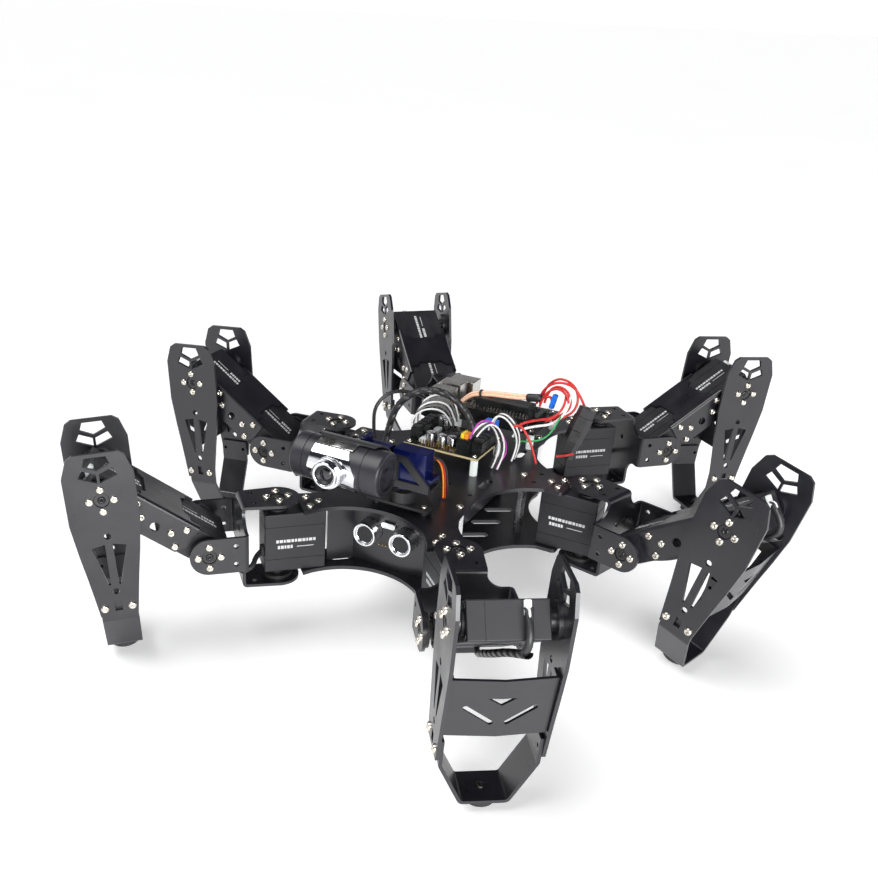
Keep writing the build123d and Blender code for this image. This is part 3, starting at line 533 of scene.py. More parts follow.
def make_stage():
    """The pale floor and the white surroundings."""
    bm = bmesh.new()
    bmesh.ops.create_grid(bm, x_segments=1, y_segments=1, size=FLOOR_SIZE)
    mesh = bpy.data.meshes.new("floor")
    bm.to_mesh(mesh)
    bm.free()
    floor = bpy.data.objects.new("floor", mesh)
    bpy.context.scene.collection.objects.link(floor)
    floor.data.materials.append(
        grained(
            "pale_floor", (0.86, 0.86, 0.86), (0.88, 0.88, 0.88), (0.6, 0.7), 300, 0.02, 2.0,
            Emission_Color=(1.0, 1.0, 1.0, 1.0), Emission_Strength=FLOOR_GLOW,
        )
    )
    world = bpy.data.worlds.new("studio")
    world.use_nodes = True
    # white round the horizon, dimmer overhead, so that flat tops stay darker than upright faces
    nodes, links = world.node_tree.nodes, world.node_tree.links
    height = nodes.new("ShaderNodeSeparateXYZ")
    links.new(nodes.new("ShaderNodeTexCoord").outputs["Generated"], height.inputs["Vector"])
    ramp = nodes.new("ShaderNodeValToRGB")
    ramp.color_ramp.elements[0].position = SKY_WHITE_TO
    ramp.color_ramp.elements[0].color = (1, 1, 1, 1)
    ramp.color_ramp.elements[1].position = SKY_DARK_FROM
    ramp.color_ramp.elements[1].color = (0.03, 0.03, 0.04, 1)
    links.new(height.outputs["Z"], ramp.inputs["Fac"])
    links.new(ramp.outputs["Color"], nodes["Background"].inputs["Color"])
    nodes["Background"].inputs["Strength"].default_value = SKY_STRENGTH
    bpy.context.scene.world = world
    bpy.context.scene.view_settings.view_transform = "Standard"


def overhead_light():
    """A broad, even light from above the camera's left, which keeps the floor one white."""
    light = bpy.data.lights.new("overhead", "SUN")
    light.energy = SUN_STRENGTH
    light.angle = radians(SUN_SPREAD)
    lamp = bpy.data.objects.new("overhead", light)
    bpy.context.scene.collection.objects.link(lamp)
    lamp.matrix_world = axes(at(0, 0, 1500), Vector((1, 0.3, 0)), Vector(SUN_FROM))


def softbox(name, position, target, size, power):
    """A flat light of size metres that faces the target."""
    light = bpy.data.lights.new(name, "AREA")
    light.shape = "RECTANGLE"
    light.size, light.size_y = size
    light.energy = power
    lamp = bpy.data.objects.new(name, light)
    bpy.context.scene.collection.objects.link(lamp)
    lamp.matrix_world = axes(position, Vector((1, 0.3, 0)), position - target)


make_camera()
make_stage()
overhead_light()
softbox("front", at(*SOFTBOX_PLACE), at(*SOFTBOX_TARGET), SOFTBOX_SIZE, SOFTBOX_POWER)


# ---------------------------------------------------------------- fasteners on the legs
def ring_of_screws(place, x, y, z, normal):
    """The four screws round a horn's centre."""
    found = []
    for k in range(4):
        a = k * pi / 2
        outward = Matrix.Translation(Vector((cos(a), sin(a), 0)) * SCREW_CIRCLE * MM)
        found.append(spot(place, x, y, z, normal) @ outward @ Matrix.Rotation(0.4 + k, 4, "Z"))
    return found


def leg_fasteners(leg):
    """Screws of one leg, each set riding on the part that it is screwed to."""
    name = leg.name
    hip = []
    hip += ring_of_screws(leg.hip, 0, 0, FLANGE_OUTER, (0, 0, 1))
    hip += ring_of_screws(leg.hip, 0, 0, -FLANGE_OUTER, (0, 0, -1))
    hip += ring_of_screws(leg.thigh_hub, 0, FLANGE_OUTER, 0, (0, 1, 0))
    hip += ring_of_screws(leg.thigh_hub, 0, -FLANGE_OUTER, 0, (0, -1, 0))
    copies(f"{name}_hip_screws", HEAD, hip, M["screw"], f"{name}_hip", True)
    centre = []
    centre.append(spot(leg.hip, 0, 0, FLANGE_OUTER - HORN_RECESS, (0, 0, 1)))
    centre.append(spot(leg.hip, 0, 0, -FLANGE_OUTER + HORN_RECESS, (0, 0, -1)))
    centre.append(spot(leg.thigh_hub, 0, FLANGE_OUTER - HORN_RECESS, 0, (0, 1, 0)))
    centre.append(spot(leg.thigh_hub, 0, -FLANGE_OUTER + HORN_RECESS, 0, (0, -1, 0)))
    copies(f"{name}_hip_horn_screws", PLATE_HEAD, centre, M["dark_screw"], f"{name}_hip", True)

    thigh = []
    for side in (-1, 1):
        for x, z in CASE_SCREWS:
            for along in (-x, leg.thigh_length + x):
                thigh.append(spot(leg.thigh, along, side * COVER_OUTER, z, (0, side, 0), along))
    copies(f"{name}_cover_screws", HEAD, thigh, M["screw"], f"{name}_thigh", True)

    shin = []
    shin += ring_of_screws(leg.shin, 0, FLANGE_OUTER, 0, (0, 1, 0))
    shin += ring_of_screws(leg.shin, 0, -FLANGE_OUTER, 0, (0, -1, 0))
    copies(f"{name}_shin_screws", HEAD, shin, M["screw"], f"{name}_shin", True)
    lower = []
    for side in (-1, 1):
        for x in (-FOOT_SCREW_X, FOOT_SCREW_X):
            lower.append(spot(leg.shin, x, side * FLANGE_OUTER, FOOT_SCREW_Z, (0, side, 0), x))
    copies(f"{name}_foot_screws", PLATE_HEAD, lower, M["screw"], f"{name}_shin", True)
    centre = []
    for side in (-1, 1):
        centre.append(spot(leg.shin, 0, side * (FLANGE_OUTER - HORN_RECESS), 0, (0, side, 0)))
    centre.append(spot(leg.shin, 0, 0, FOOT_STRIP_Z, (0, 0, 1)))
    copies(f"{name}_shin_horn_screws", PLATE_HEAD, centre, M["dark_screw"], f"{name}_shin", True)


for leg in LEGS.values():
    leg_fasteners(leg)


# ---------------------------------------------------------------- servo marks and case screws
# rows of a printed mark in mm: left end, middle height, block height, gap, block widths
MARK_ROWS = [
    (-12.5, 1.2, 2.1, 0.55, (1.6, 2.2, 1.2, 2.6, 1.8, 1.4, 2.4, 2.0, 1.2, 2.2, 1.6)),
    (-11.5, -3.0, 2.3, 0.5, (1.5, 1.9, 1.2, 1.7, 1.4)),
    (1.0, -3.2, 0.5, 0.0, (11.0,)),
]


def label_marks(place):
    """A plain printed mark, flat on z = 0: a row of short blocks, a shorter row and a thin line."""
    found = []
    for x, y, tall, gap, widths in MARK_ROWS:
        for width in widths:
            middle = Matrix.Translation(Vector((x + width / 2, y, 0)) * MM)
            found.append((place @ middle, width, tall))
            x += width + gap
    return found


def print_labels(name, places, body):
    """The marks at every placement, as one piece."""
    parts = []
    for place in places:
        for mark_place, width, height in label_marks(place):
            base, faces = bar(width, height, 0.08, 0.02)
            parts.append(([mark_place @ Vector(v) for v in base], faces))
    new_piece(name, *joined(parts), M["label"], body)


def case_screws(place, centre_x):
    """The four dark screws of a case end cap, on both shaft ends; place has the shaft along Z."""
    found = []
    for end in (-1, 1):
        z = end * (SERVO_TALL / 2 - CAP_SCREW_SINK)
        for dx in (-CAP_SCREW_X, CAP_SCREW_X):
            for dy in (-CAP_SCREW_Y, CAP_SCREW_Y):
                found.append(spot(place, centre_x + dx, dy, z, (0, 0, end), dx))
    return found


def servo_details(leg):
    """Marks on one leg's hip and thigh servos, and the dark screws of its thigh servos."""
    mid = SHAFT_FROM_END - SERVO_LONG / 2
    turn = leg.arm.to_3x3()
    sides = []
    for side in (-1, 1):
        facing = spot(leg.arm, mid, side * SERVO_WIDE / 2, 0, (0, side, 0))
        sides.append(
            axes(facing.translation, turn @ Vector((-side, 0, 0)), turn @ Vector((0, side, 0))),
        )
    print_labels(f"{leg.name}_hip_servo_mark", sides, "chassis")
    sideways = leg.thigh @ Matrix.Rotation(pi / 2, 4, "X")
    tops = []
    dark = []
    for x in (-mid, leg.thigh_length + mid):
        tops.append(spot(leg.thigh, x, 0, SERVO_WIDE / 2, (0, 0, 1)))
        dark += case_screws(sideways, x)
    body = f"{leg.name}_thigh"
    print_labels(f"{leg.name}_thigh_servo_marks", tops, body)
    copies(f"{leg.name}_thigh_case_screws", SMALL_HEAD, dark, M["dark_screw"], body, True)


for leg in LEGS.values():
    servo_details(leg)


# ---------------------------------------------------------------- wires
def route_curve(name, routes, diameter, material=None):
    """Smooth wires through the corner points of their routes, as one curve object."""
    curve = bpy.data.curves.new(name, "CURVE")
    curve.dimensions = "3D"
    curve.bevel_depth = diameter / 2 * MM
    curve.bevel_resolution = 4
    curve.resolution_u = 10
    curve.use_fill_caps = True
    for points in routes:
        spline = curve.splines.new("NURBS")
        spline.points.add(len(points) - 1)
        for knot, point in zip(spline.points, points):
            knot.co = (*point, 1)
        spline.order_u = 3
        spline.use_endpoint_u = True
    wire = bpy.data.objects.new(name, curve)
    bpy.context.scene.collection.objects.link(wire)
    if material:
        curve.materials.append(material)
    return wire


def as_mesh(wire):
    mesh = bpy.data.meshes.new_from_object(wire)
    mesh.shade_smooth()
    piece = bpy.data.objects.new(wire.name + "_tube", mesh)
    bpy.context.scene.collection.objects.link(piece)
    bpy.data.objects.remove(wire)
    return piece


def centre_line(points):
    """Points along the smooth wire, read from its spline."""
    wire = route_curve("line_only", [points], 0.0)
    mesh = bpy.data.meshes.new_from_object(wire)
    line = [v.co.copy() for v in mesh.vertices]
    bpy.data.objects.remove(wire)
    bpy.data.meshes.remove(mesh)
    return line


WRAP_STEPS = 14  # sections in one turn of a spiral wrap


def spiral_wrap(name, points, radius, pitch, body):
    """A flat plastic strip wound round a wire along its route."""
    line = centre_line(points)
    verts, faces = [], []
    side = Vector((0.31, 0.87, 0.2))
    travelled = 0.0
    steps = []
    for here, after in zip(line, line[1:]):
        direction = (after - here).normalized()
        side = (side - direction * side.dot(direction)).normalized()
        length = (after - here).length
        count = max(1, int(length / (pitch * MM / WRAP_STEPS)))
        for k in range(count):
            along = k / count
            turn = 2 * pi * (travelled + length * along) / (pitch * MM)
            steps.append((here.lerp(after, along), direction, side.copy(), turn))
        travelled += length
    for centre, direction, side, turn in steps:
        other = direction.cross(side)
        outward = side * cos(turn) + other * sin(turn)
        # the strip's section, its width given as a share of the pitch
        foot, crown = radius - 0.1, radius + 0.17
        for r, shift in ((foot, -0.45), (crown, -0.43), (crown, 0.43), (foot, 0.45)):
            verts.append(centre + outward * r * MM + direction * shift * pitch * MM)
    for i in range(len(steps) - 1):
        for k in range(3):
            faces.append((4 * i + k, 4 * i + k + 1, 4 * i + k + 5, 4 * i + k + 4))
    return new_piece(name, verts, faces, M["black_wire"], body, True)


# corner points of the wrapped arch, in the design's millimetres
ARCH = [
    (-46, -24, 96), (-44, -21, 116), (-39, -20, 130), (-30, -18, 140), (-16, -15, 144.6),
    (-4, -13, 143), (6, -11, 136), (13.5, -10, 126), (15, -9.8, 119),
]


def supply_strand(dy, dz):
    """One strand of the supply bundle, offset from its middle line."""
    route = [
        (-26, 60, 109), (-20, 60, 116.5), (-13, 60, 120.6), (3, 60, 123.3), (19, 60, 124.4),
        (34, 60, 127),
    ]
    return [(x, y + dy, z + dz) for x, y, z in route]


CHASSIS_WIRES = {
    "arch_core": ("black_wire", ARCH_WIDE, [ARCH]),
    "webcam_cable": (
        "black_wire", WEBCAM_CABLE,
        [
            [
                (-50, -30, 96), (-51, -33, 120), (-50, -32, 131), (-45, -25, 139), (-38, -14, 139),
                (-35, 4, 132), (-38, 24, 122), (-46, 38, 113), (-50, 46, 111),
            ],
        ],
    ),
    "red_leads": (
        "red_wire",
        LOOP_LEAD,
        [
            [
                (33, 24, 112), (34, 27, 117), (43, 37, 119), (52.5, 47, 119), (58, 54, 127),
                (56, 60, 133),
            ],
            [
                (34, 62, 122), (37, 62, 132), (43, 62, 139), (51, 62, 142), (60, 63, 140),
                (66, 64, 133), (70, 66, 124),
            ],
            [
                (38, 58, 122), (40, 57, 131), (47, 57, 138), (54, 57, 138), (60, 57, 131),
                (59, 57, 122), (53, 57, 115),
            ],
            [
                (36, 64, 122), (38, 64, 134), (45, 64, 142.5), (53, 64, 144), (62, 64, 139),
                (65, 63, 128), (61, 58, 119), (52, 48, 117),
            ],
            [
                (40, 62, 124), (42, 61, 134), (49, 60, 139.5), (57, 60, 137), (61, 60, 128),
                (58, 58, 120), (48, 44, 117),
            ],
            [(33, 16, 118), (38, 18, 121.5), (45, 19, 113), (50, 19.5, 103), (53, 20, 93.5)],
            [(70, 50, 95), (67, 47, 93.6), (60, 42, 93.4)],
            [(38, 60, 127.6), (42, 60, 129.5), (45.6, 60.3, 130), (46, 60.5, 125)],
        ],
    ),
    # white strand laid along the first red lead: a painted highlight on the red loops
    "white_pair": (
        "white_wire", LOOP_LEAD,
        [
            [
                (33, 21, 109), (35, 24, 113.5), (44, 34, 115.5), (54, 45, 115.5), (61, 54, 125),
                (59, 61, 134),
            ],
        ],
    ),
    "supply_cream": ("cream_wire", 2.4, [supply_strand(0, 1.3), supply_strand(-1.2, -0.6)]),
    "supply_red": ("red_wire", 2.2, [supply_strand(1.3, -0.7)]),
    "ground_lead": (
        "green_wire", LEAD,
        [[(34, 22.6, 106), (42, 28.8, 104.5), (52, 35, 107), (57, 39, 115), (58, 47, 122)]],
    ),
    "bus_lead": (
        "purple_wire", LEAD,
        [
            [
                (16.5, -17.5, 117), (19, -15, 129), (26, -7, 129), (31.5, 1, 119), (34.5, 7, 108),
                (34.5, 6, 98), (31, -1, 94),
            ],
        ],
    ),
}


def board_leads():
    """The repeated leads over the controller: (material, route) for each."""
    found = []
    for step in range(5):
        rise, along = 1.7 * step, 3.2 * step
        route = [
            (-28.5, -17 + along, 116), (-30, -15 + along, 120 + rise),
            (-26, -8 + along, 125.5 + rise), (-19, 2 + along, 125 + rise),
            (-13, 9 + along, 119 + rise), (-10.2, 11 + along, 111),
        ]
        found.append(("white_wire" if step % 2 == 0 else "grey_wire", route))
    for step in range(4):
        across, along = 2.0 * step, 2.6 * step
        front = [
            (13 + across, -12, 117), (18 + across, -9, 127), (24 + across, -2, 124),
            (28 + across, 3, 112), (28.5 + across, 3, 101), (28 + across, -6, 94),
        ]
        side = [
            (21, 4 + along, 117), (23, 6 + along, 128), (30, 12 + along, 126),
            (37, 17 + along, 114), (38, 19 + along, 102), (37, 13 + along, 94),
        ]
        found.append(("white_wire" if step % 2 else "black_wire", front))
        found.append(("black_wire" if step % 2 else "white_wire", side))
    return found


def at_angle(x, y, z, turn_x, turn_y, turn_z):
    """A placement at a chassis point, turned in degrees about X, then its own Y, then its own Z."""
    place = Matrix.Translation(at(x, y, z))
    for turn, axis in ((turn_x, "X"), (turn_y, "Y"), (turn_z, "Z")):
        place = place @ Matrix.Rotation(radians(turn), 4, axis)
    return place


def chassis_wiring():
    """Every lead, plug and wrap above the top plate."""
    pieces = []
    for name, (material, diameter, routes) in CHASSIS_WIRES.items():
        placed = [[at(*point) for point in route] for route in routes]
        pieces.append(route_curve(name, placed, diameter, M[material]))
    for material in ("white_wire", "grey_wire", "black_wire"):
        routes = [
            [at(*point) for point in route] for kind, route in board_leads() if kind == material
        ]
        pieces.append(route_curve(f"board_leads_{material}", routes, LEAD, M[material]))
    for piece in pieces:
        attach(piece, "chassis")
    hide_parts("wiring_harness")
    spiral_wrap("arch_wrap", [at(*point) for point in ARCH], 2.3, 9.0, "chassis")
    collar = turned([(0, -6), (2.7, -6), (3.0, -5), (3.0, 3), (2.2, 6), (0, 6)], 20)
    copies(
        "supply_collar", collar, [spot(UPRIGHT, 33, 60, 126.8, (1, 0, 0.18))], M["black_plastic"],
        "chassis", True,
    )
    plug = spot(Matrix.Translation(at(46, 60.5, 121.5)), 0, 0, 0, (0.2, 0, 1))
    copies("loop_plug", bar(3.5, 4, 11, 0.5), [plug], M["bright_blue"], "chassis")
    lean = at_angle(68, 57, 108, -14, 14, 10) @ Matrix.Diagonal((1.1, 0.85, 1.0, 1.0))
    tape = turned(
        [
            (0, -19), (5.0, -19), (5.5, -18), (5.7, -7), (6.3, -6.6), (6.2, 2), (6.6, 2.6),
            (6.4, 13), (5.9, 13.4), (5.8, 20), (0, 21),
        ],
        6,
    )
    copies("taped_plug", tape, [lean], M["tape"], "chassis")


def inside(place, x, y, z):
    """A point given in mm of a placement."""
    return place @ (Vector((x, y, z)) * MM)


# points of a servo lead in the thigh's millimetres, and of one lead out of its plug
SLEEVE_ROUTE = [
    (87.4, 9, 3), (90, 9, -7), (84, 8, -16.5), (66, 4, -14.5), (45, 0.5, -14.8), (24, 0, -14),
]
PLUG_Y = 9
PLUG_LEADS = [("m2", -1.6, "black_wire"), ("p0", 0.0, "white_wire"), ("p2", 1.6, "black_wire")]


def plug_lead_route(shift):
    """One of the three leads from the plug, shifted sideways and drawn in towards the sleeve."""
    return [
        (87.0, PLUG_Y + shift, 5.2), (89.4, PLUG_Y + shift, 4.4),
        (89.3, PLUG_Y + shift * 0.7, 0.5), (89.2, PLUG_Y + shift * 0.4, -4),
    ]


def leg_wiring(leg):
    """Sleeved lead under the thigh, its plug, and the two stretches that cross the joints."""
    name = leg.name
    placed = [inside(leg.thigh, *point) for point in SLEEVE_ROUTE]
    core = route_curve(f"{name}_lead_sleeve", [placed], SLEEVE, M["black_wire"])
    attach(core, f"{name}_thigh")
    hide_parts(f"{name}_servo_lead")
    spiral_wrap(f"{name}_lead_wrap", placed[2:], 2.0, 7.0, f"{name}_thigh")
    plug = spot(leg.thigh, 85.2, PLUG_Y, 5.6, (1, 0, 0))
    copies(f"{name}_plug", bar(3.6, 7.5, 2.4, 0.3), [plug], M["nylon"], f"{name}_thigh")
    for label, shift, material in PLUG_LEADS:
        route = [inside(leg.thigh, *point) for point in plug_lead_route(shift)]
        lead = route_curve(f"{name}_plug_lead_{label}", [route], LEAD, M[material])
        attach(lead, f"{name}_thigh")
    thigh_end = placed[-1]
    turn = inside(leg.hip, 25, 16.8, -14)
    middle = [thigh_end, inside(leg.thigh, 8, 1, -15.5), inside(leg.hip, 30, 9, -15), turn]
    knee = as_mesh(route_curve(f"{name}_knee_lead", [middle], JOINT_LEAD, M["black_wire"]))
    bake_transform(knee)
    grommet = inside(leg.arm, 10.4, 4, -7)
    inner = [turn, inside(leg.hip, 19, 17, -12), inside(leg.hip, 15.5, 9, -8), grommet]
    hip = as_mesh(route_curve(f"{name}_hip_lead", [inner], JOINT_LEAD, M["black_wire"]))
    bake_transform(hip)
    ring = turned([(0, 0), (4.2, 0), (4.2, 1.2), (3.4, 1.8), (1.9, 1.8), (1.9, 1.0), (0, 1.0)])
    hole = spot(leg.arm, 10.0, 4, -7, (1, 0, 0))
    copies(f"{name}_grommet", ring, [hole], M["rubber"], "chassis", True)


chassis_wiring()
for leg in LEGS.values():
    leg_wiring(leg)


# ---------------------------------------------------------------- chassis fasteners
SPACERS = [(-36, -72), (36, -72), (-36, 72), (36, 72), (-52, 0), (52, 0)]
CONTROLLER = [(-27.5, -21), (22.5, -21), (-27.5, 21), (22.5, 21)]
COMPUTER = [(-20.5, 47), (37.5, 47), (-20.5, 95), (37.5, 95)]
PAN_BASE = [(-17, -4), (17, -4), (0, 12)]
plate_screws = []
for leg in LEGS.values():
    for x, y in CASE_SCREWS:
        plate_screws.append(spot(leg.arm, x, y, DECK - HIP_Z, (0, 0, 1), x + y))
        plate_screws.append(spot(leg.arm, x, y, -(DECK - HIP_Z), (0, 0, -1), x - y))
for x, y in SPACERS:
    plate_screws.append(spot(UPRIGHT, x, y, DECK, (0, 0, 1), x))
    plate_screws.append(spot(UPRIGHT, x, y, BELLY, (0, 0, -1), x))
copies("plate_screws", HEAD, plate_screws, M["screw"], "chassis", True)
board_screws = [spot(UPRIGHT, x, y, BOARD_TOP, (0, 0, 1), x) for x, y in CONTROLLER + COMPUTER]
board_screws += [
    spot(UPRIGHT, PAN_X + x, PAN_Y + y, PAN_BASE_TOP, (0, 0, 1), x) for x, y in PAN_BASE
]
copies("board_screws", SMALL_HEAD, board_screws, M["screw"], "chassis", True)


# ---------------------------------------------------------------- boards
def blocks(name, items, material, body="chassis"):
    """Bevelled blocks from (x, y, z of the foot, size x, size y, size z), as one piece."""
    parts = []
    for x, y, z, *size in items:
        base, faces = bar(*size, 0.12)
        parts.append(([at(x, y, z) + Vector(v) for v in base], faces))
    new_piece(name, *joined(parts), M[material], body)


def small_parts(x0, x1, y0, y1, count, seed, keep_out):
    """Scattered surface-mount parts in a rectangle, off the larger components."""
    dice = Random(seed)
    found = []
    while len(found) < count:
        x, y = dice.uniform(x0, x1), dice.uniform(y0, y1)
        if any(
            abs(x - cx) < w / 2 + 1.2 and abs(y - cy) < d / 2 + 1.2 for cx, cy, w, d in keep_out
        ):
            continue
        long, wide = dice.choice(((1.6, 0.8), (2.2, 1.3), (3.0, 1.6), (0.8, 1.6), (1.3, 2.2)))
        found.append((x, y, BOARD_TOP, long, wide, dice.uniform(0.5, 1.1)))
    return found


def controller_details():
    """Parts soldered to the controller; big lists what the scattered parts keep clear of."""
    big = [
        (-26, 0, 7.6, 30), (21, 0, 7.6, 30), (12.5, -14, 8, 12), (-6, 3, 12, 12), (8, 12, 9, 7),
        (-10, -16, 18, 9), (-16, 15, 8, 8), (2, -15, 8, 8),
    ]
    blocks("controller_small_parts", small_parts(-21, 16, -22, 22, 90, 3, big), "steel")
    blocks("controller_dark_parts", small_parts(-21, 16, -22, 22, 40, 5, big), "black_plastic")
    edge = [
        (-2.5, -24.1, BOARD_SIDE_Z, 56, 0.35, 1.45), (-2.5, 24.1, BOARD_SIDE_Z, 56, 0.35, 1.45),
        (-30.6, 0, BOARD_SIDE_Z, 0.35, 48, 1.45), (25.6, 0, BOARD_SIDE_Z, 0.35, 48, 1.45),
    ]
    blocks("controller_edge", edge, "board_edge")
    plugs = [
        (-18.5, -17, BOARD_TOP, 4.5, 6, 3.2), (-18.5, -9, BOARD_TOP, 4.5, 5, 2.6),
        (-18.5, 6, BOARD_TOP, 4.2, 6, 3.0), (10, 1, BOARD_TOP, 6, 4.5, 2.4),
    ]
    blocks("controller_plugs", plugs, "nylon")
    rings = []
    for x, y in ((-14, -15), (-5, -16), (-16, 15), (2, -15)):
        rings.append(spot(UPRIGHT, x, y, 113.85))
    copies(
        "capacitor_tops", turned([(0, 0.25), (2.6, 0.25), (3.1, 0.1), (3.42, -0.4), (3.42, -7.8)]),
        rings, M["aluminium"], "chassis", True,
    )
    shells = []
    for x in (-26, 21):
        for step in range(5):
            shells.append((x, -12 + 6 * step, PORT_TOP, 6.4, 4.6, 1.6))
    blocks("servo_port_shells", shells, "black_plastic")
    pins = []
    for step in range(14):
        pins.append((-18 + 2.0 * step, -22.6, BOARD_TOP, 0.7, 0.7, 4.2))
    blocks("controller_pins", pins, "gold")
    chips = [(-6, 3, 107.5, 10.5, 10.5, 0.35), (8, 12, 108.3, 7.5, 5.5, 0.3)]
    blocks("controller_chips", chips, "black_plastic")
    blocks(
        "button_caps", [(-1, -21, BOARD_TOP, 3.5, 3.5, 1.6), (6, -21, BOARD_TOP, 3.5, 3.5, 1.6)],
        "steel",
    )
    blocks("colour_plug_yellow", [(11.0, -14.5, 115.9, 2.4, 7.5, 3.4)], "yellow")
    blocks("colour_plug_orange", [(13.8, -14.5, 115.9, 2.4, 7.5, 3.4)], "orange_wire")
    blocks("terminal_block", [(17, 18, PORT_TOP, 9, 8, 5.0)], "bright_blue")


def computer_details():
    """Parts soldered to the computer board, and the ties round the supply bundle over it."""
    big = [
        (8.5, 46.8, 51, 5), (11, 60, 42, 16), (6, 72, 14, 14), (-14, 66, 9, 9), (33, 76, 4, 22),
        (-37, 71, 22, 50),
    ]
    blocks("computer_small_parts", small_parts(-24, 39, 45, 98, 110, 11, big), "steel")
    blocks("computer_dark_parts", small_parts(-24, 39, 45, 98, 50, 13, big), "black_plastic")
    pins = []
    for column in range(20):
        for row in (-PIN_PITCH / 2, PIN_PITCH / 2):
            x = 8.5 - 24.1 + PIN_PITCH * column
            pins.append((x, 46.8 + row, 114.2, PIN_SIDE, PIN_SIDE, 3.0))
    blocks("header_pins", pins, "steel")
    lids = [
        (-38, 54, 121.5, 16.5, 12.2, 0.3), (-38, 72, 121.5, 16.5, 12.2, 0.3),
        (-36, 89.5, 119.3, 19.5, 14.6, 0.3),
    ]
    blocks("port_lids", lids, "steel")
    tongues = []
    for y in (54, 72):
        for z in (109.0, 116.6):
            tongues.append((-44.5, y, z, 11, 9.6, 1.5))
    blocks("port_tongues", tongues, "nylon")
    blocks("module_lid", [(11, 60, 119.85, 40, 14, 0.5)], "black_plastic")
    ties = [spot(UPRIGHT, x, 60, z, (1, 0, 0.1)) for x, z in ((-9, 121.6), (30, 126.0))]
    copies(
        "supply_ties", turned([(2.35, -0.9), (2.75, -0.9), (2.75, 0.9), (2.35, 0.9)]), ties,
        M["black_plastic"], "chassis", True,
    )


controller_details()
computer_details()


# ---------------------------------------------------------------- range sensor and camera glass
def sensor_details():
    """Mesh, rings and pins of the range sensor's two eyes."""
    eyes = [spot(UPRIGHT, x, -108.5, EYE_Z, (0, -1, 0)) for x in (-EYE_X, EYE_X)]
    copies(
        "eye_mesh", turned([(0, 0.5), (3.0, 0.45), (5.6, 0.2), (6.2, 0)], 40), eyes, M["mesh"],
        "chassis", True,
    )
    copies(
        "eye_inner_ring", turned([(5.5, 0.25), (5.9, 0.9), (6.25, 0.9), (6.25, 0.1)], 40), eyes,
        M["chrome"], "chassis", True,
    )
    rims = [spot(UPRIGHT, x, -110.0, EYE_Z, (0, -1, 0)) for x in (-EYE_X, EYE_X)]
    copies(
        "eye_rims", turned([(6.35, -0.2), (6.5, 0.35), (7.7, 0.35), (8.05, 0.1), (8.05, -0.8)], 40),
        rims, M["chrome"], "chassis", True,
    )
    pins = [(-6 + PIN_PITCH * k, -100.6, 65.2, PIN_SIDE, 2.4, PIN_SIDE) for k in range(4)]
    blocks("sensor_pins", pins, "gold")


def barrel_shell(edges, inner, outer, start, end):
    """Bent sheet round the webcam's barrel from start to end degrees (0 faces forward, 90 up).

    edges gives the left and right edge for a share 0 to 1 of the way round.
    """
    steps = 26
    verts, faces = [], []
    for k in range(steps + 1):
        share = k / steps
        a = radians(start + (end - start) * share)
        left, right = edges(share)
        for x, r in ((left, inner), (left, outer), (right, outer), (right, inner)):
            verts.append(at(x, BARREL_Y - r * cos(a), BARREL_Z + r * sin(a)))
    for k in range(steps):
        for i in range(4):
            j = (i + 1) % 4
            faces.append((4 * k + i, 4 * k + j, 4 * k + 4 + j, 4 * k + 4 + i))
    faces.append((0, 3, 2, 1))
    last = 4 * steps
    faces.append((last, last + 1, last + 2, last + 3))
    return verts, faces


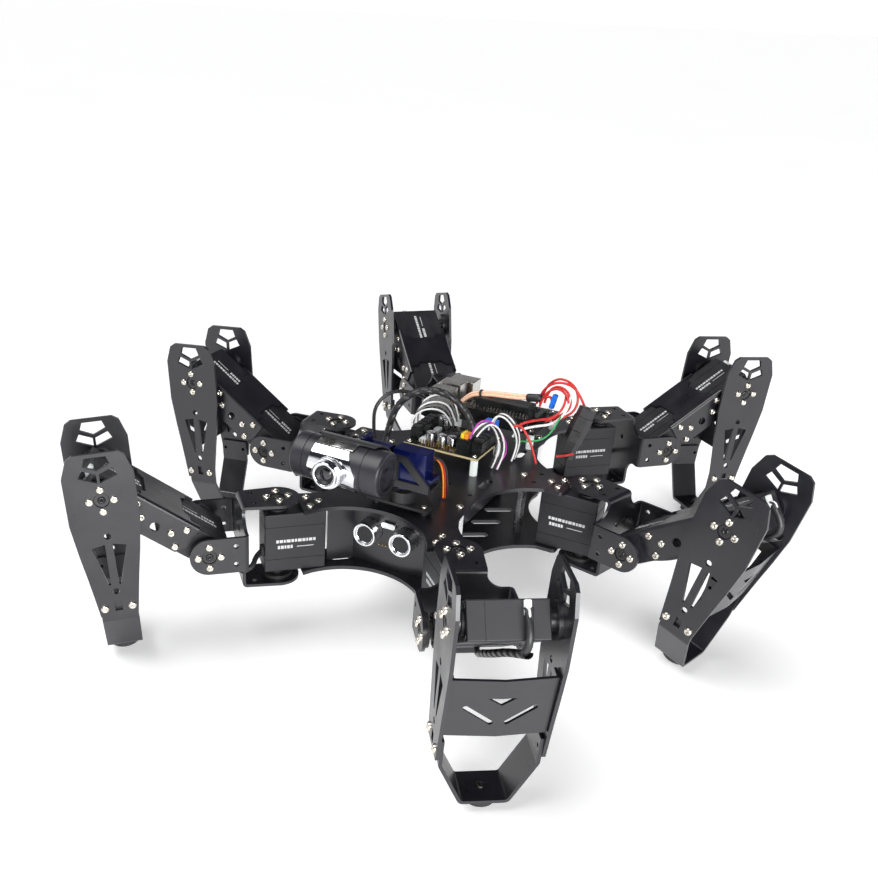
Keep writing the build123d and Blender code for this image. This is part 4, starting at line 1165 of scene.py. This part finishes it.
def camera_clip_pieces():
    """Hood over the back of the barrel, band behind it, arm and horn disc on the tilt servo."""
    hood = barrel_shell(lambda t: (-51 + 10 * (1 - t), -3 + 4 * t), 15.7, 16.9, 84, 150)
    band = barrel_shell(lambda t: (-38, -28), 14.7, 16.4, 100, 258)
    arm_verts, arm_faces = bar(1.7, 10, 10, 0.3)
    arm = ([Matrix.Translation(at(-35.15, -98, 119)) @ Vector(v) for v in arm_verts], arm_faces)
    disc_verts, disc_faces = turned([(0, 2), (7.0, 2), (7.5, 1.6), (7.5, 0), (0, 0)], 32)
    disc_place = spot(UPRIGHT, -34.0, PAN_Y, BARREL_Z, (-1, 0, 0))
    disc = ([disc_place @ Vector(v) for v in disc_verts], disc_faces)
    clip = new_piece(
        "camera_clip_skin", *joined([hood, band, arm, disc]), M["black_plastic"], "camera",
    )
    bevel = clip.modifiers.new("edges", "BEVEL")
    bevel.width = 0.25 * MM
    bevel.segments = 2
    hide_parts("camera_clip")
    top_band = barrel_shell(lambda t: (-41 + 3 * t, -15 + 2 * t), 15.42, 15.75, 60, 100)
    new_piece("shield_top_band", *top_band, M["steel"], "camera", True)


def camera_details():
    """Clip, lens and end rings of the webcam."""
    camera_clip_pieces()
    front = BARREL_Y - BARREL_R - LENS_TUBE
    lens = spot(UPRIGHT, LENS_X, front, BARREL_Z, (0, -1, 0))
    copies(
        "lens_barrel_inside",
        turned([(6.3, 2.3), (5.9, 1.0), (5.0, 0.7), (4.9, 0.1), (4.0, 0.1), (0, 0.1)], 40), [lens],
        M["black_plastic"], "camera", True,
    )
    copies(
        "lens_glass", turned([(0, 1.5), (1.6, 1.3), (3.0, 0.85), (4.0, 0.2)], 40), [lens],
        M["lens"], "camera", True,
    )
    copies(
        "lens_front_ring",
        turned([(6.45, 2.5), (6.6, 2.95), (8.3, 2.95), (8.65, 2.6), (8.65, 1.4)], 40), [lens],
        M["chrome"], "camera", True,
    )
    copies(
        "lens_knurl",
        turned(
            [
                (9.62, -4.6), (9.9, -4.4), (9.9, -3.4), (9.62, -3.2), (9.62, -2.4), (9.9, -2.2),
                (9.9, -1.2), (9.62, -1.0),
            ],
            48,
        ),
        [lens], M["aluminium"], "camera", True,
    )
    ends = [
        spot(UPRIGHT, BARREL_X0, BARREL_Y, BARREL_Z, (-1, 0, 0)),
        spot(UPRIGHT, BARREL_X1, BARREL_Y, BARREL_Z, (1, 0, 0)),
    ]
    copies(
        "barrel_end_rings",
        turned([(10.1, -1.4), (10.1, 0.0), (10.7, 0.25), (11.4, 0.05), (11.4, -0.3)], 48), ends,
        M["black_plastic"], "camera", True,
    )


sensor_details()
camera_details()

# three-colour lead from the pan servo down to the deck behind the pan base
for shift, material in ((0.0, "orange_wire"), (1.4, "red_wire"), (2.8, "black_wire")):
    top, foot = at(12 + shift, -82.5, 121), at(22 + shift, -68, 93.6)
    ribbon_route = [
        top, at(15 + shift, -76, 125), at(20 + shift, -70, 118), at(22 + shift, -69, 105), foot,
    ]
    ribbon = as_mesh(route_curve(f"head_ribbon_{material}", [ribbon_route], LEAD, M[material]))
    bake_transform(ribbon)
